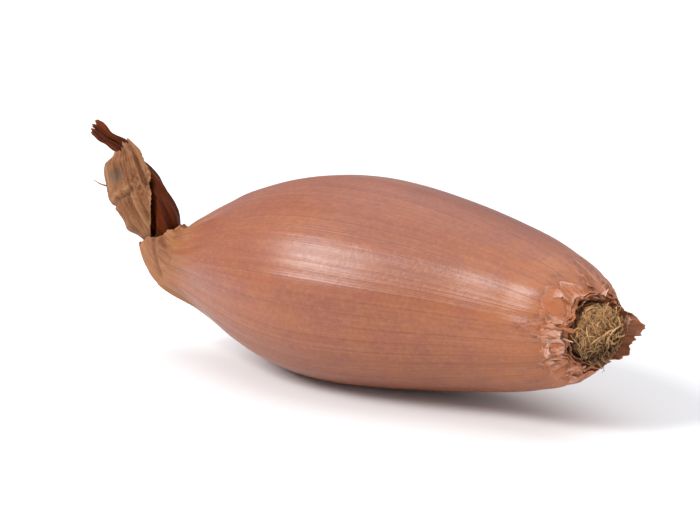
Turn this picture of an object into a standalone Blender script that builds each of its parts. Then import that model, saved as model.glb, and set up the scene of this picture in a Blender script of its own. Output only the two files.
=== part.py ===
"""A dry shallot lying on its side, in metres, with +Z up.

The bulb and its neck are one skin, turned round an axis that runs along X, rises slowly and turns up at the
neck. A corky root plate with dried roots sits in the dish at its +X end. At the other end an inner leaf
stands in the neck's mouth, with a papery leaf sheath wrapped most of the way round it.
The origin is the middle of the small flat spot that the bulb rests on.
"""

import math
import random

import bmesh
import bpy
import numpy as np

MM = 0.001
TURN = 2 * math.pi

# Bulb: lengths run along the axis, from the root rim to the neck's mouth.
BULB_LENGTH = 74 * MM
BULB_RADIUS = 14.9 * MM
# The skin's outline, as (share of the length, share of the radius).
OUTLINE = (
    (0.0, 0.34), (0.03, 0.465), (0.115, 0.635), (0.23, 0.78), (0.345, 0.90), (0.44, 0.972), (0.52, 1.0),
    (0.59, 0.985), (0.67, 0.91), (0.76, 0.75), (0.855, 0.525), (0.905, 0.41), (0.95, 0.325), (1.0, 0.25),
)
BODY_LIFT = math.radians(0.8)
BODY_BOW = math.radians(-6)
NECK_LIFT = math.radians(60)
NECK_BEND = (0.885 * BULB_LENGTH, 1.03 * BULB_LENGTH)
SHEATH_RISE = math.radians(16)
ROOT_TURN, ROOT_RAISE = math.radians(22), math.radians(5)
ROOT_BEND = 0.42 * BULB_LENGTH
NECK_SAG, NECK_SAG_AT, NECK_SAG_LENGTH = 0.6 * MM, 0.965, 0.035
BULB_AROUND = 70
BULB_ROWS = 50

# Small departures from a turned shape.
OVAL, OVAL_AT = 0.030, math.radians(80)
SWELL, SWELL_AT = 0.022, math.radians(25)
RIB_COUNT, RIB_HEIGHT = 13, 0.14 * MM
PLEAT_COUNT, PLEAT_HEIGHT = 9, 0.34 * MM

# Root end: a dish with a torn fringe of skin round it.
DISH_RADIUS, DISH_DEPTH = 3.95 * MM, 1.7 * MM
SKIN = 0.6 * MM
FRINGE, FLAP = 1.1 * MM, 2.6 * MM
FLAP_AT, FLAP_WIDTH = math.radians(100), math.radians(36)

# Neck's mouth, and what stands in it.
MOUTH_RAG, MOUTH_TILT = 0.35 * MM, 0.8 * MM
MOUTH_DEPTH = 3.2 * MM
MOUTH_RADIUS = 2.95 * MM
GAP = 0.32 * MM

# Root plate and its dried roots.
PLATE_RADIUS = DISH_RADIUS - GAP
PLATE_PROUD = 1.1 * MM
ROOT_COUNT, ROOT_RADIUS = 30, 0.42 * MM
ROOT_LENGTH = (2.2 * MM, 4.2 * MM)
ROOT_RISE = (0.9 * MM, 2.0 * MM)
ROOT_SEED = 11

# Leaf sheath and inner leaf: lengths run on along the axis, past the mouth.
SHEATH_LENGTH = 14.5 * MM
SHEATH_WALL = 0.62 * MM
SHEATH_WIDE_AT = math.radians(30)
# The sheath's outer half widths, as (share of its length above the mouth, wide way, thin way).
SHEATH_OUTLINE = (
    (-0.20, 2.55 * MM, 2.5 * MM), (0.03, 2.65 * MM, 2.6 * MM), (0.15, 3.3 * MM, 2.7 * MM),
    (0.45, 3.95 * MM, 2.75 * MM), (0.75, 3.45 * MM, 2.5 * MM), (1.0, 2.45 * MM, 2.1 * MM),
)
SHEATH_GAP = (math.radians(132), math.radians(84))
SHEATH_GAP_AT = math.radians(20)
SHEATH_ROWS, SHEATH_AROUND = 15, 31
TIP_LENGTH = 5.4 * MM
TIP_HALF_WIDTHS = (1.0 * MM, 0.58 * MM)
TIP_BEND = math.radians(42)
INNER_ROWS, INNER_AROUND = 22, 20

REST_DEPTH = 0.5 * MM


def smooth_step(t):
    """0 below 0, 1 above 1, and an S curve between."""
    t = np.clip(t, 0, 1)
    return t * t * (3 - 2 * t)


def through(points, at):
    """A smooth curve through (place, value) points, read at some places: a cubic between each two of them."""
    place, value = np.array(points).T
    slope = np.gradient(value, place)
    i = np.clip(np.searchsorted(place, at) - 1, 0, len(place) - 2)
    wide = place[i + 1] - place[i]
    t = (at - place[i]) / wide
    start = value[i] * (1 + 2 * t) * (1 - t) ** 2 + slope[i] * wide * t * (1 - t) ** 2
    end = value[i + 1] * t * t * (3 - 2 * t) + slope[i + 1] * wide * t * t * (t - 1)
    return start + end


def axis_lift(s):
    """Angle of the axis above level: the bulb's slight bow, the upturned neck, and the tip leaning out."""
    body = BODY_LIFT + BODY_BOW * (s / BULB_LENGTH - 0.5)
    neck = NECK_LIFT * smooth_step((s - NECK_BEND[0]) / (NECK_BEND[1] - NECK_BEND[0]))
    rise = SHEATH_RISE * smooth_step((s - BULB_LENGTH - 3 * MM) / (SHEATH_LENGTH - 3 * MM))
    sheath_top = BULB_LENGTH + SHEATH_LENGTH
    tip = TIP_BEND * smooth_step((s - sheath_top + 2 * MM) / (TIP_LENGTH / 2))
    root = ROOT_RAISE * (1 - smooth_step(s / ROOT_BEND))
    return body + neck + rise - tip - root


def axis_turn(s):
    """Angle that the axis is turned about Z: only the root end is turned, so that it looks toward -Y."""
    return ROOT_TURN * (1 - smooth_step(s / ROOT_BEND))


AXIS_S = np.linspace(-10 * MM, BULB_LENGTH + SHEATH_LENGTH + TIP_LENGTH + 1 * MM, 900)


def axis_points():
    """X, Y and Z of the axis at AXIS_S, summed from its direction."""
    step = AXIS_S[1] - AXIS_S[0]
    lift, turn = axis_lift(AXIS_S), axis_turn(AXIS_S)
    ahead = np.stack([-np.cos(lift) * np.cos(turn), np.cos(lift) * np.sin(turn), np.sin(lift)])
    return np.cumsum(ahead, axis=1) * step


AXIS = axis_points()


def place(s, angle, radius):
    """Points at distance s along the axis. Angle 0 is the upper side and a quarter turn is +Y."""
    lift, turn = axis_lift(s), axis_turn(s)
    up, side = radius * np.cos(angle), radius * np.sin(angle)
    return np.stack(
        [
            np.interp(s, AXIS_S, AXIS[0]) + up * np.sin(lift) * np.cos(turn) + side * np.sin(turn),
            np.interp(s, AXIS_S, AXIS[1]) - up * np.sin(lift) * np.sin(turn) + side * np.cos(turn),
            np.interp(s, AXIS_S, AXIS[2]) + up * np.cos(lift),
        ],
        axis=-1,
    )


def turned_by(angle, middle):
    """Angle measured from middle, between minus and plus half a turn."""
    return (angle - middle + math.pi) % TURN - math.pi


def bulb_radius(s, angle):
    """The skin's radius: its outline, out of round in the middle, with lengthwise ribs and neck pleats."""
    share = s / BULB_LENGTH
    fullness = np.sin(math.pi * np.clip(share, 0, 1)) ** 2
    oval = OVAL * np.cos(2 * (angle - OVAL_AT))
    swell = SWELL * np.cos(3 * (angle - SWELL_AT))
    radius = BULB_RADIUS * through(OUTLINE, share) * (1 + fullness * (oval + swell))
    drift = 0.5 * np.sin(2 * angle + 1) + 0.4 * np.sin(3 * angle + 9 * share)
    uneven = 0.7 + 0.3 * np.sin(3 * angle + 0.5)
    ribs = RIB_HEIGHT * uneven * np.cos(RIB_COUNT * angle + drift)
    pleats = np.cos(PLEAT_COUNT * angle + drift) + 0.5 * np.cos((PLEAT_COUNT - 4) * angle + 2)
    neck = smooth_step((share - 0.68) / 0.28) * (1 - 0.5 * smooth_step((share - 0.96) / 0.04))
    sag = NECK_SAG * np.exp(-(((share - NECK_SAG_AT) / NECK_SAG_LENGTH) ** 2)) * np.cos(angle)
    return radius - sag + ribs * (1 - neck) + PLEAT_HEIGHT * neck * pleats


def fringe_reach(angle):
    """How far the torn skin stands past the root rim: ragged teeth all round, and one long flap."""
    teeth = 0.5 + 0.28 * np.sin(5 * angle + 1) + 0.24 * np.sin(8 * angle + 2.4)
    flap = np.exp(-((turned_by(angle, FLAP_AT) / FLAP_WIDTH) ** 2))
    return FRINGE * teeth + FLAP * flap


def mouth_edge(angle):
    """Place along the axis of the neck's torn edge."""
    rag = MOUTH_RAG * (np.sin(3 * angle + 0.6) + 0.5 * np.sin(7 * angle))
    return BULB_LENGTH - MOUTH_TILT * np.cos(angle) + rag


def bulb_rings():
    """Rings of points, from the middle of the root dish over the skin and down into the neck's mouth."""
    angle = np.arange(BULB_AROUND) / BULB_AROUND * TURN
    level = np.ones(BULB_AROUND)
    reach = fringe_reach(angle)
    rim = bulb_radius(0 * level, angle)
    tip = rim - SKIN / 2 + 0.28 * reach
    edge = mouth_edge(angle)
    edge_radius = bulb_radius(BULB_LENGTH * level, angle)
    rows = [
        (DISH_DEPTH * level, 0.55 * DISH_RADIUS * level),
        (DISH_DEPTH * level, DISH_RADIUS * level),
        (-0.2 * reach, (DISH_RADIUS + tip - SKIN / 2) / 2),
        (-reach, tip - SKIN / 2),
        (-reach, tip + SKIN / 2),
        (-0.3 * reach, (rim + tip + SKIN / 2) / 2),
    ]
    spread = np.linspace(0, 1, BULB_ROWS)
    for share in 0.012 + 0.966 * (spread - 0.045 * np.sin(TURN * spread)):
        s = share * BULB_LENGTH * level
        rows.append((s, bulb_radius(s, angle)))
    rows += [
        (edge, edge_radius),
        (edge, np.minimum(edge_radius, MOUTH_RADIUS + SKIN) - SKIN / 2),
        (BULB_LENGTH - 0.5 * MOUTH_DEPTH * level, MOUTH_RADIUS * level),
        (BULB_LENGTH - MOUTH_DEPTH * level, MOUTH_RADIUS * level),
        (BULB_LENGTH - MOUTH_DEPTH * level, 0.5 * MOUTH_RADIUS * level),
    ]
    middle_of_dish = place(DISH_DEPTH, 0.0, 0.0)
    middle_of_mouth = place(BULB_LENGTH - MOUTH_DEPTH, 0.0, 0.0)
    return [middle_of_dish], [place(s, angle, r) for s, r in rows], [middle_of_mouth]


def material(name, colour, roughness):
    """A plain Principled material. Colours are linear."""
    made = bpy.data.materials.new(name)
    made.use_nodes = True
    shader = made.node_tree.nodes["Principled BSDF"]
    shader.inputs["Base Color"].default_value = (*colour, 1)
    shader.inputs["Roughness"].default_value = roughness
    shader.inputs["Metallic"].default_value = 0
    return made


def add_object(name, mesh, finish):
    """Links a new object that holds the mesh."""
    mesh.materials.append(finish)
    made = bpy.data.objects.new(name, mesh)
    bpy.context.scene.collection.objects.link(made)
    return made


def skinned(name, first, rings, last):
    """A closed mesh over rings of points, with a fan of triangles to one point at each end."""
    bm = bmesh.new()
    loops = [[bm.verts.new(p) for p in ring] for ring in rings]
    count = len(loops[0])
    for lower, upper in zip(loops, loops[1:]):
        for i in range(count):
            j = (i + 1) % count
            bm.faces.new((lower[i], lower[j], upper[j], upper[i]))
    start, end = bm.verts.new(first[0]), bm.verts.new(last[0])
    for i in range(count):
        j = (i + 1) % count
        bm.faces.new((start, loops[0][j], loops[0][i]))
        bm.faces.new((end, loops[-1][i], loops[-1][j]))
    bmesh.ops.recalc_face_normals(bm, faces=bm.faces)
    mesh = bpy.data.meshes.new(name)
    bm.to_mesh(mesh)
    bm.free()
    return mesh


def soften(mesh):
    """Shades a mesh smooth, keeping its sharp edges."""
    mesh.shade_smooth()
    mesh.set_sharp_from_angle(angle=math.radians(50))


def rest_offset(rings):
    """The shift that puts the bulb's underside REST_DEPTH below the surface, with its lowest point over the origin."""
    points = np.concatenate(rings)
    lowest = points[:, 2].min()
    spot = points[points[:, 2] < lowest + REST_DEPTH]
    middle = (spot.min(axis=0) + spot.max(axis=0)) / 2
    return np.array([-middle[0], -middle[1], -lowest - REST_DEPTH])


def build_bulb():
    """The skinned bulb and neck, pressed flat where it rests. Also returns the shift of its axis."""
    first, rings, last = bulb_rings()
    shift = rest_offset(rings)
    rings = [ring + shift for ring in rings]
    for ring in rings:
        ring[:, 2] = np.maximum(ring[:, 2], 0)
    mesh = skinned("bulb", [first[0] + shift], rings, [last[0] + shift])
    soften(mesh)
    add_object("bulb", mesh, material("skin", (0.46, 0.17, 0.085), 0.34))
    return shift


def root_strand(rng, k):
    """Points and radii of one dried root: it rises out of the plate, curls over and turns aside."""
    out = 0.88 * PLATE_RADIUS * math.sqrt((k + 0.5) / ROOT_COUNT)
    bearing = k * TURN * 0.382
    base = out * np.array([math.cos(bearing), math.sin(bearing)])
    heading = bearing + rng.uniform(-1.6, 1.6)
    curl = rng.uniform(-1.4, 1.4)
    length = rng.uniform(*ROOT_LENGTH)
    rise = rng.uniform(*ROOT_RISE)
    points = []
    for t in np.linspace(0, 1, 5):
        ahead = heading + curl * t
        at = base + 0.7 * length * t * t * np.array([math.cos(ahead), math.sin(ahead)])
        radius = math.hypot(*at)
        held = min(radius, 0.5 * (radius + PLATE_RADIUS))
        dome = PLATE_PROUD * (1 - 0.45 * min(held / PLATE_RADIUS, 1) ** 2)
        height = dome - 0.5 * MM + (rise + 0.5 * MM) * math.sin(0.62 * math.pi * t)
        point = place(np.array(-height), math.atan2(at[1], at[0]), held)
        points.append((point, ROOT_RADIUS * (1 - 0.4 * t)))
    return points


def curve_tube(name, points, bevel_resolution):
    """A closed tube mesh along (point, radius) pairs."""
    curve = bpy.data.curves.new(name, "CURVE")
    curve.dimensions = "3D"
    curve.bevel_depth = 1.0
    curve.bevel_resolution = bevel_resolution
    curve.use_fill_caps = True
    spline = curve.splines.new("POLY")
    spline.points.add(len(points) - 1)
    for control, (point, radius) in zip(spline.points, points):
        control.co = (*point, 1)
        control.radius = radius
    holder = bpy.data.objects.new(name, curve)
    mesh = bpy.data.meshes.new_from_object(holder)
    bpy.data.objects.remove(holder)
    bpy.data.curves.remove(curve)
    bm = bmesh.new()
    bm.from_mesh(mesh)
    bmesh.ops.remove_doubles(bm, verts=bm.verts, dist=0.001 * MM)
    bmesh.ops.recalc_face_normals(bm, faces=bm.faces)
    bm.to_mesh(mesh)
    bm.free()
    return mesh


def joined(base, parts):
    """The mesh of base with all the parts fused to it by one Boolean union on a collection."""
    group = bpy.data.collections.new("parts_to_join")
    bpy.context.scene.collection.children.link(group)
    for part in parts:
        bpy.context.scene.collection.objects.unlink(part)
        group.objects.link(part)
    union = base.modifiers.new("join", "BOOLEAN")
    union.operation = "UNION"
    union.operand_type = "COLLECTION"
    union.collection = group
    union.solver = "MANIFOLD"
    bpy.context.view_layer.update()
    graph = bpy.context.evaluated_depsgraph_get()
    mesh = bpy.data.meshes.new_from_object(base.evaluated_get(graph))
    base.modifiers.remove(union)
    base.data = mesh
    for part in parts:
        bpy.data.objects.remove(part)
    bpy.data.collections.remove(group)


def build_root_plate(shift):
    """The corky plate in the dish, with its dried roots fused to it."""
    finish = material("roots", (0.30, 0.19, 0.10), 0.85)
    angle = np.arange(24) / 24 * TURN
    level = np.ones(24)
    back = DISH_DEPTH - GAP
    knobs = 1 + 0.05 * np.cos(5 * angle) + 0.04 * np.cos(8 * angle + 1)
    rows = (
        (back, 0.96), (back - 1.1 * MM, 1.0), (-0.4 * PLATE_PROUD, 0.96), (-0.75 * PLATE_PROUD, 0.74),
        (-0.94 * PLATE_PROUD, 0.42),
    )
    rings = [
        place(s * level, angle, PLATE_RADIUS * share * (knobs if s < 0 else level)) + shift
        for s, share in rows
    ]
    mesh = skinned(
        "root_plate", [place(back, 0.0, 0.0) + shift], rings, [place(-PLATE_PROUD, 0.0, 0.0) + shift]
    )
    plate = add_object("root_plate", mesh, finish)
    rng = random.Random(ROOT_SEED)
    strands = []
    for k in range(ROOT_COUNT):
        points = [(point + shift, radius) for point, radius in root_strand(rng, k)]
        strands.append(add_object(f"root_{k:02d}", curve_tube("root", points, 1), finish))
    joined(plate, strands)
    soften(plate.data)


def sheath_half_widths(s):
    """The sheath's outer half widths at a place past the mouth."""
    share = s / SHEATH_LENGTH
    wide = through([(at, w) for at, w, _ in SHEATH_OUTLINE], share)
    thin = through([(at, t) for at, _, t in SHEATH_OUTLINE], share)
    return wide, thin


def sheath_gap(s):
    """The angle that the sheath leaves open."""
    up = np.clip(s / SHEATH_LENGTH, 0, 1)
    return SHEATH_GAP[0] + (SHEATH_GAP[1] - SHEATH_GAP[0]) * up


def oval_radius(angle, wide, thin):
    """Radius of an oval with its wide way at SHEATH_WIDE_AT."""
    return 1 / np.hypot(np.cos(angle - SHEATH_WIDE_AT) / wide, np.sin(angle - SHEATH_WIDE_AT) / thin)


def build_leaf_sheath(shift):
    """The papery sheath: a pleated wall bent round the inner leaf, open on the side of the bulb."""
    loops = []
    for s in np.linspace(-MOUTH_DEPTH + GAP, SHEATH_LENGTH, SHEATH_ROWS):
        up = np.clip(s / SHEATH_LENGTH, 0, 1)
        gap = sheath_gap(s)
        angle = SHEATH_GAP_AT + gap / 2 + (TURN - gap) * np.linspace(0, 1, SHEATH_AROUND)
        free = smooth_step((s - 0.5 * MM) / (3 * MM))
        pleats = 0.20 * MM * free * (np.cos(11 * angle) + 0.6 * np.cos(17 * angle + 3 * up))
        rag = 1.1 * MM * smooth_step((up - 0.6) / 0.4) * (np.sin(4 * angle + 1) + 0.6 * np.sin(9 * angle))
        at = BULB_LENGTH + s + rag
        outer = oval_radius(angle, *sheath_half_widths(s)) + pleats
        inner = outer - SHEATH_WALL
        section = np.concatenate([place(at, angle, outer), place(at, angle, inner)[::-1]])
        loops.append(section + shift)
    bm = bmesh.new()
    rings = [[bm.verts.new(p) for p in loop] for loop in loops]
    count = len(rings[0])
    for lower, upper in zip(rings, rings[1:]):
        for i in range(count):
            j = (i + 1) % count
            bm.faces.new((lower[i], lower[j], upper[j], upper[i]))
    for ring in (rings[0], rings[-1]):
        for i in range(SHEATH_AROUND - 1):
            bm.faces.new((ring[i], ring[i + 1], ring[count - 2 - i], ring[count - 1 - i]))
    bmesh.ops.recalc_face_normals(bm, faces=bm.faces)
    mesh = bpy.data.meshes.new("leaf_sheath")
    bm.to_mesh(mesh)
    bm.free()
    soften(mesh)
    add_object("leaf_sheath", mesh, material("papery_leaf", (0.42, 0.22, 0.10), 0.7))


def build_inner_leaf(shift):
    """The dark inner leaf: a flattened strand inside the sheath, its tip leaning out of the top."""
    angle = np.arange(INNER_AROUND) / INNER_AROUND * TURN
    start, end = -MOUTH_DEPTH + GAP, SHEATH_LENGTH + TIP_LENGTH
    rings = []
    for s in np.linspace(start, end, INNER_ROWS):
        wide, thin = sheath_half_widths(min(s, SHEATH_LENGTH))
        bare = 0.5 * sheath_gap(s) - np.abs(turned_by(angle, SHEATH_GAP_AT))
        shown = smooth_step((s - 1 * MM) / (2 * MM)) * smooth_step((bare - 0.12) / 0.45)
        inset = SHEATH_WALL + GAP + 0.36 * MM - 0.9 * MM * shown
        radius = oval_radius(angle, wide, thin) - inset
        tip = smooth_step((s - SHEATH_LENGTH + 2.5 * MM) / (3.5 * MM))
        radius = radius * (1 - tip) + tip * np.minimum(radius, oval_radius(angle, *TIP_HALF_WIDTHS))
        grooves = 1 + 0.06 * np.cos(5 * angle + 1) + 0.04 * np.sin(7 * angle + 900 * s)
        rings.append(place(BULB_LENGTH + s + 0 * angle, angle, radius * grooves) + shift)
    first = place(BULB_LENGTH + start, 0.0, 0.0) + shift
    last = place(BULB_LENGTH + end, 0.0, 0.0) + shift
    mesh = skinned("inner_leaf", [first], rings, [last])
    soften(mesh)
    add_object("inner_leaf", mesh, material("dark_leaf", (0.10, 0.03, 0.012), 0.6))


def main():
    for obj in list(bpy.data.objects):
        bpy.data.objects.remove(obj)
    shift = build_bulb()
    build_root_plate(shift)
    build_leaf_sheath(shift)
    build_inner_leaf(shift)


main()
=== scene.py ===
"""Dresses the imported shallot: papery skin with torn edges, dried roots, a dry leaf sheath and its inner leaf.

Every shape is a surface worked out from the same axis and outline as the solids. Lengths are in metres.
"""

import math
import random

import bpy
import numpy as np
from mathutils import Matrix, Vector


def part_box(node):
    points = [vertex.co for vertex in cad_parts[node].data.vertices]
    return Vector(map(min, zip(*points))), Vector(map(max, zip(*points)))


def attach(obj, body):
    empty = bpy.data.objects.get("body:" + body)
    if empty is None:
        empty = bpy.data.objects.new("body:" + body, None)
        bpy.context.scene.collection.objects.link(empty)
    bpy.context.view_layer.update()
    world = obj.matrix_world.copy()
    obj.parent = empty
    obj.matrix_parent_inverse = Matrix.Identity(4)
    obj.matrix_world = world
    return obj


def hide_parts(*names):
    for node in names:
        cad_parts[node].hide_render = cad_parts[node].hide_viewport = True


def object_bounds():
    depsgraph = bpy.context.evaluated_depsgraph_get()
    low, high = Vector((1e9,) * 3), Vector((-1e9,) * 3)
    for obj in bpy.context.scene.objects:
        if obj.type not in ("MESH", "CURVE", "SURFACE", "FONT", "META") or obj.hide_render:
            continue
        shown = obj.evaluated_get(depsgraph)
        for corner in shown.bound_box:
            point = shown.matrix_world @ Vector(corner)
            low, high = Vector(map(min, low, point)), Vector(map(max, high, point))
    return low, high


bl_info = {
    "name": "Shallot Looks",
    "version": (1, 0, 0),
    "blender": (4, 5, 0),
    "location": "3D View > Sidebar > Shallot",
    "description": "Gives the shallot its papery skin, dried roots and dry neck, and sets a plain stage",
    "category": "Object",
}

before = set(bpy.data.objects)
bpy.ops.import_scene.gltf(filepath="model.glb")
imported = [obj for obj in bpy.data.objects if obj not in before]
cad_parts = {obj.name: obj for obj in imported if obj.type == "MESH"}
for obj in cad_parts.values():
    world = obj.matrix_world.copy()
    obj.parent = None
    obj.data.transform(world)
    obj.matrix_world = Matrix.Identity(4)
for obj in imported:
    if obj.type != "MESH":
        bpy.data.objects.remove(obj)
CAD_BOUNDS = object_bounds()

MM = 0.001
TURN = 2 * math.pi

# The form of the solids.
BULB_LENGTH, BULB_RADIUS = 74 * MM, 14.9 * MM
OUTLINE = (
    (0.0, 0.34), (0.03, 0.465), (0.115, 0.635), (0.23, 0.78), (0.345, 0.90), (0.44, 0.972), (0.52, 1.0),
    (0.59, 0.985), (0.67, 0.91), (0.76, 0.75), (0.855, 0.525), (0.905, 0.41), (0.95, 0.325), (1.0, 0.25),
)
BODY_LIFT, BODY_BOW, NECK_LIFT = math.radians(0.8), math.radians(-6), math.radians(60)
NECK_BEND = (0.885 * BULB_LENGTH, 1.03 * BULB_LENGTH)
SHEATH_RISE = math.radians(16)
ROOT_TURN, ROOT_RAISE, ROOT_BEND = math.radians(22), math.radians(5), 0.42 * BULB_LENGTH
NECK_SAG, NECK_SAG_AT, NECK_SAG_LENGTH = 0.6 * MM, 0.965, 0.035
OVAL, OVAL_AT = 0.030, math.radians(80)
SWELL, SWELL_AT = 0.022, math.radians(25)
RIB_COUNT, RIB_HEIGHT = 13, 0.09 * MM
PLEAT_COUNT, PLEAT_HEIGHT = 9, 0.34 * MM
DISH_RADIUS, DISH_DEPTH = 3.95 * MM, 1.7 * MM
FRINGE, FLAP = 1.1 * MM, 2.6 * MM
FLAP_AT, FLAP_WIDTH = 100, math.radians(36)
MOUTH_RAG, MOUTH_TILT = 0.35 * MM, 0.8 * MM
MOUTH_DEPTH, MOUTH_RADIUS = 3.2 * MM, 2.95 * MM
GAP = 0.32 * MM
PLATE_RADIUS, PLATE_PROUD = DISH_RADIUS - GAP, 1.1 * MM
ROOT_COUNT, ROOT_RADIUS, ROOT_SEED = 30, 0.42 * MM, 11
ROOT_LENGTH, ROOT_HEIGHT = (2.2 * MM, 4.2 * MM), (0.9 * MM, 2.0 * MM)
LOOSE_AT = math.radians(150)
SHEATH_LENGTH, SHEATH_WALL = 14.5 * MM, 0.62 * MM
SHEATH_WIDE_AT = math.radians(30)
SHEATH_OUTLINE = (
    (-0.20, 2.55 * MM, 2.5 * MM), (0.02, 2.7 * MM, 2.6 * MM), (0.11, 3.3 * MM, 2.85 * MM),
    (0.45, 3.95 * MM, 2.75 * MM), (0.75, 3.45 * MM, 2.5 * MM), (1.0, 2.45 * MM, 2.1 * MM),
)
SHEATH_GAP = (math.radians(-108), math.radians(-10), math.radians(84))
TIP_LENGTH, TIP_HALF_WIDTHS = 5.4 * MM, (1.14 * MM, 0.62 * MM)
TIP_BEND, TIP_ASIDE = math.radians(42), np.array([-0.85, -0.53, 0.0])

# Folds of the neck: two ridges and two grooves. Each runs from a place below the mouth (mm) and an angle
# (degrees) to another such pair, and has a width (mm).
FOLDS = (
    (0.4, -58, 4.8, -98, 0.42), (2.2, -76, 5.6, -62, 0.4),
    (0.4, -74, 4.6, -112, 0.4), (3.0, -66, 6.4, -80, 0.35),
)
NECK_RADIUS = 4.5  # mm

# How the fine surfaces are laid out.
AROUND, BODY_ROWS = 384, 214
AROUND_ANGLES = np.arange(AROUND) / AROUND * TURN
SKIN_EDGE = 0.12 * MM
GOLDEN_TURN = TURN * 0.382


# Shapes


def smooth_step(t):
    """0 below 0, 1 above 1, and an S curve between."""
    t = np.clip(t, 0, 1)
    return t * t * (3 - 2 * t)


def rise(x, start, length):
    """An S curve over x, from 0 at start to 1 a length on. A negative length turns it round."""
    return smooth_step((x - start) / length)


def bump(t):
    """A bell that is 1 at 0 and nearly 0 past 2 on each side."""
    return np.exp(-(t**2))


def peak(x, at, width):
    """A bell over x that is 1 at a place and nearly 0 two widths from it."""
    return bump((x - at) / width)


def turned_by(angle, middle):
    """Angle measured from middle, between minus and plus half a turn."""
    return (angle - middle + math.pi) % TURN - math.pi


def facing(angle, degrees, width):
    """A bell round the axis that is 1 toward an angle in degrees. Its width is in radians."""
    return bump(turned_by(angle, math.radians(degrees)) / width)


def through(points, at):
    """A smooth curve through (place, value) points, read at some places: a cubic between each two of them."""
    place, value = np.array(points).T
    slope = np.gradient(value, place)
    i = np.clip(np.searchsorted(place, at) - 1, 0, len(place) - 2)
    wide = place[i + 1] - place[i]
    t = (at - place[i]) / wide
    start = value[i] * (1 + 2 * t) * (1 - t) ** 2 + slope[i] * wide * t * (1 - t) ** 2
    end = value[i + 1] * t * t * (3 - 2 * t) + slope[i + 1] * wide * t * t * (t - 1)
    return start + end


def ripple(seed, angle, turns, along=0, waves=(0, 0), terms=7):
    """An uneven field of about -1 to 1: a sum of sines, each with a whole number of turns round the axis
    from the range turns, and a number of waves along it from the range waves, drawn from the seed."""
    rng = np.random.default_rng(seed)
    total = 0
    for _ in range(terms):
        around = rng.integers(turns[0], turns[1] + 1) * rng.choice((-1, 1))
        total = total + np.sin(around * angle + TURN * rng.uniform(*waves) * along + rng.uniform(0, TURN))
    return total / math.sqrt(terms)


def waved(count, wander, seed, angle, *field):
    """Ribs along the axis: a cosine with a count of crests round it, pushed aside by a ripple."""
    return np.cos(count * angle + wander * ripple(seed, angle, *field))


def torn(seed, angle, orders):
    """How far a torn edge reaches, 0 to 1: pointed teeth of each order round the axis, finer ones shorter.
    The teeth of each order are of uneven width and height, and are missing in places."""
    rng = np.random.default_rng(seed)
    total, most = 0, 0
    for order in orders:
        height = order**-0.6
        warped = order * angle + 0.9 * order**0.6 * ripple(rng.integers(1000), angle, (1, 5), terms=5)
        teeth = 1 - np.abs(np.sin(warped / 2 + rng.uniform(0, TURN)))
        uneven = np.clip(0.55 + 0.8 * ripple(rng.integers(1000), angle, (2, 9), terms=5), 0, 1.2)
        total = total + height * uneven * teeth**0.8
        most += height
    return total / most


def axis_lift(s):
    """Angle of the axis above level: the bulb's slight bow, the upturned neck, and the tip leaning out."""
    body = BODY_LIFT + BODY_BOW * (s / BULB_LENGTH - 0.5)
    neck = NECK_LIFT * rise(s, NECK_BEND[0], NECK_BEND[1] - NECK_BEND[0])
    sheath = SHEATH_RISE * rise(s, BULB_LENGTH + 3 * MM, SHEATH_LENGTH - 3 * MM)
    tip = TIP_BEND * rise(s, BULB_LENGTH + SHEATH_LENGTH - 2 * MM, TIP_LENGTH / 2)
    return body + neck + sheath - tip - ROOT_RAISE * (1 - smooth_step(s / ROOT_BEND))


def axis_turn(s):
    """Angle that the axis is turned about Z: only the root end is turned, so that it looks toward -Y."""
    return ROOT_TURN * (1 - smooth_step(s / ROOT_BEND))


AXIS_S = np.linspace(-10 * MM, BULB_LENGTH + SHEATH_LENGTH + TIP_LENGTH + 1 * MM, 900)


def axis_points():
    """X, Y and Z of the axis at AXIS_S, summed from its direction."""
    lift, turn = axis_lift(AXIS_S), axis_turn(AXIS_S)
    ahead = np.stack([-np.cos(lift) * np.cos(turn), np.cos(lift) * np.sin(turn), np.sin(lift)])
    return np.cumsum(ahead, axis=1) * (AXIS_S[1] - AXIS_S[0])


AXIS = axis_points()


def placed(s, angle, radius):
    """Points at distance s along the axis. Angle 0 is the upper side and a quarter turn is +Y."""
    lift, turn = axis_lift(s), axis_turn(s)
    up, side = radius * np.cos(angle), radius * np.sin(angle)
    x, y, z = (np.interp(s, AXIS_S, line) for line in AXIS)
    x = x + up * np.sin(lift) * np.cos(turn) + side * np.sin(turn)
    y = y - up * np.sin(lift) * np.sin(turn) + side * np.cos(turn)
    return np.stack([x, y, z + up * np.cos(lift)], axis=-1)


def bulb_radius(s, angle):
    """The solids' skin: its outline, out of round in the middle, with lengthwise ribs and neck pleats."""
    share = s / BULB_LENGTH
    fullness = np.sin(math.pi * np.clip(share, 0, 1)) ** 2
    oval = OVAL * np.cos(2 * (angle - OVAL_AT)) + SWELL * np.cos(3 * (angle - SWELL_AT))
    radius = BULB_RADIUS * through(OUTLINE, share) * (1 + fullness * oval)
    drift = 0.5 * np.sin(2 * angle + 1) + 0.4 * np.sin(3 * angle + 9 * share)
    ribs = RIB_HEIGHT * (0.7 + 0.3 * np.sin(3 * angle + 0.5)) * np.cos(RIB_COUNT * angle + drift)
    pleats = np.cos(PLEAT_COUNT * angle + drift) + 0.5 * np.cos((PLEAT_COUNT - 4) * angle + 2)
    neck = rise(share, 0.68, 0.28) * (1 - 0.5 * rise(share, 0.96, 0.04))
    sag = NECK_SAG * peak(share, NECK_SAG_AT, NECK_SAG_LENGTH) * np.cos(angle)
    return radius - sag + ribs * (1 - neck) + PLEAT_HEIGHT * neck * pleats


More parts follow.
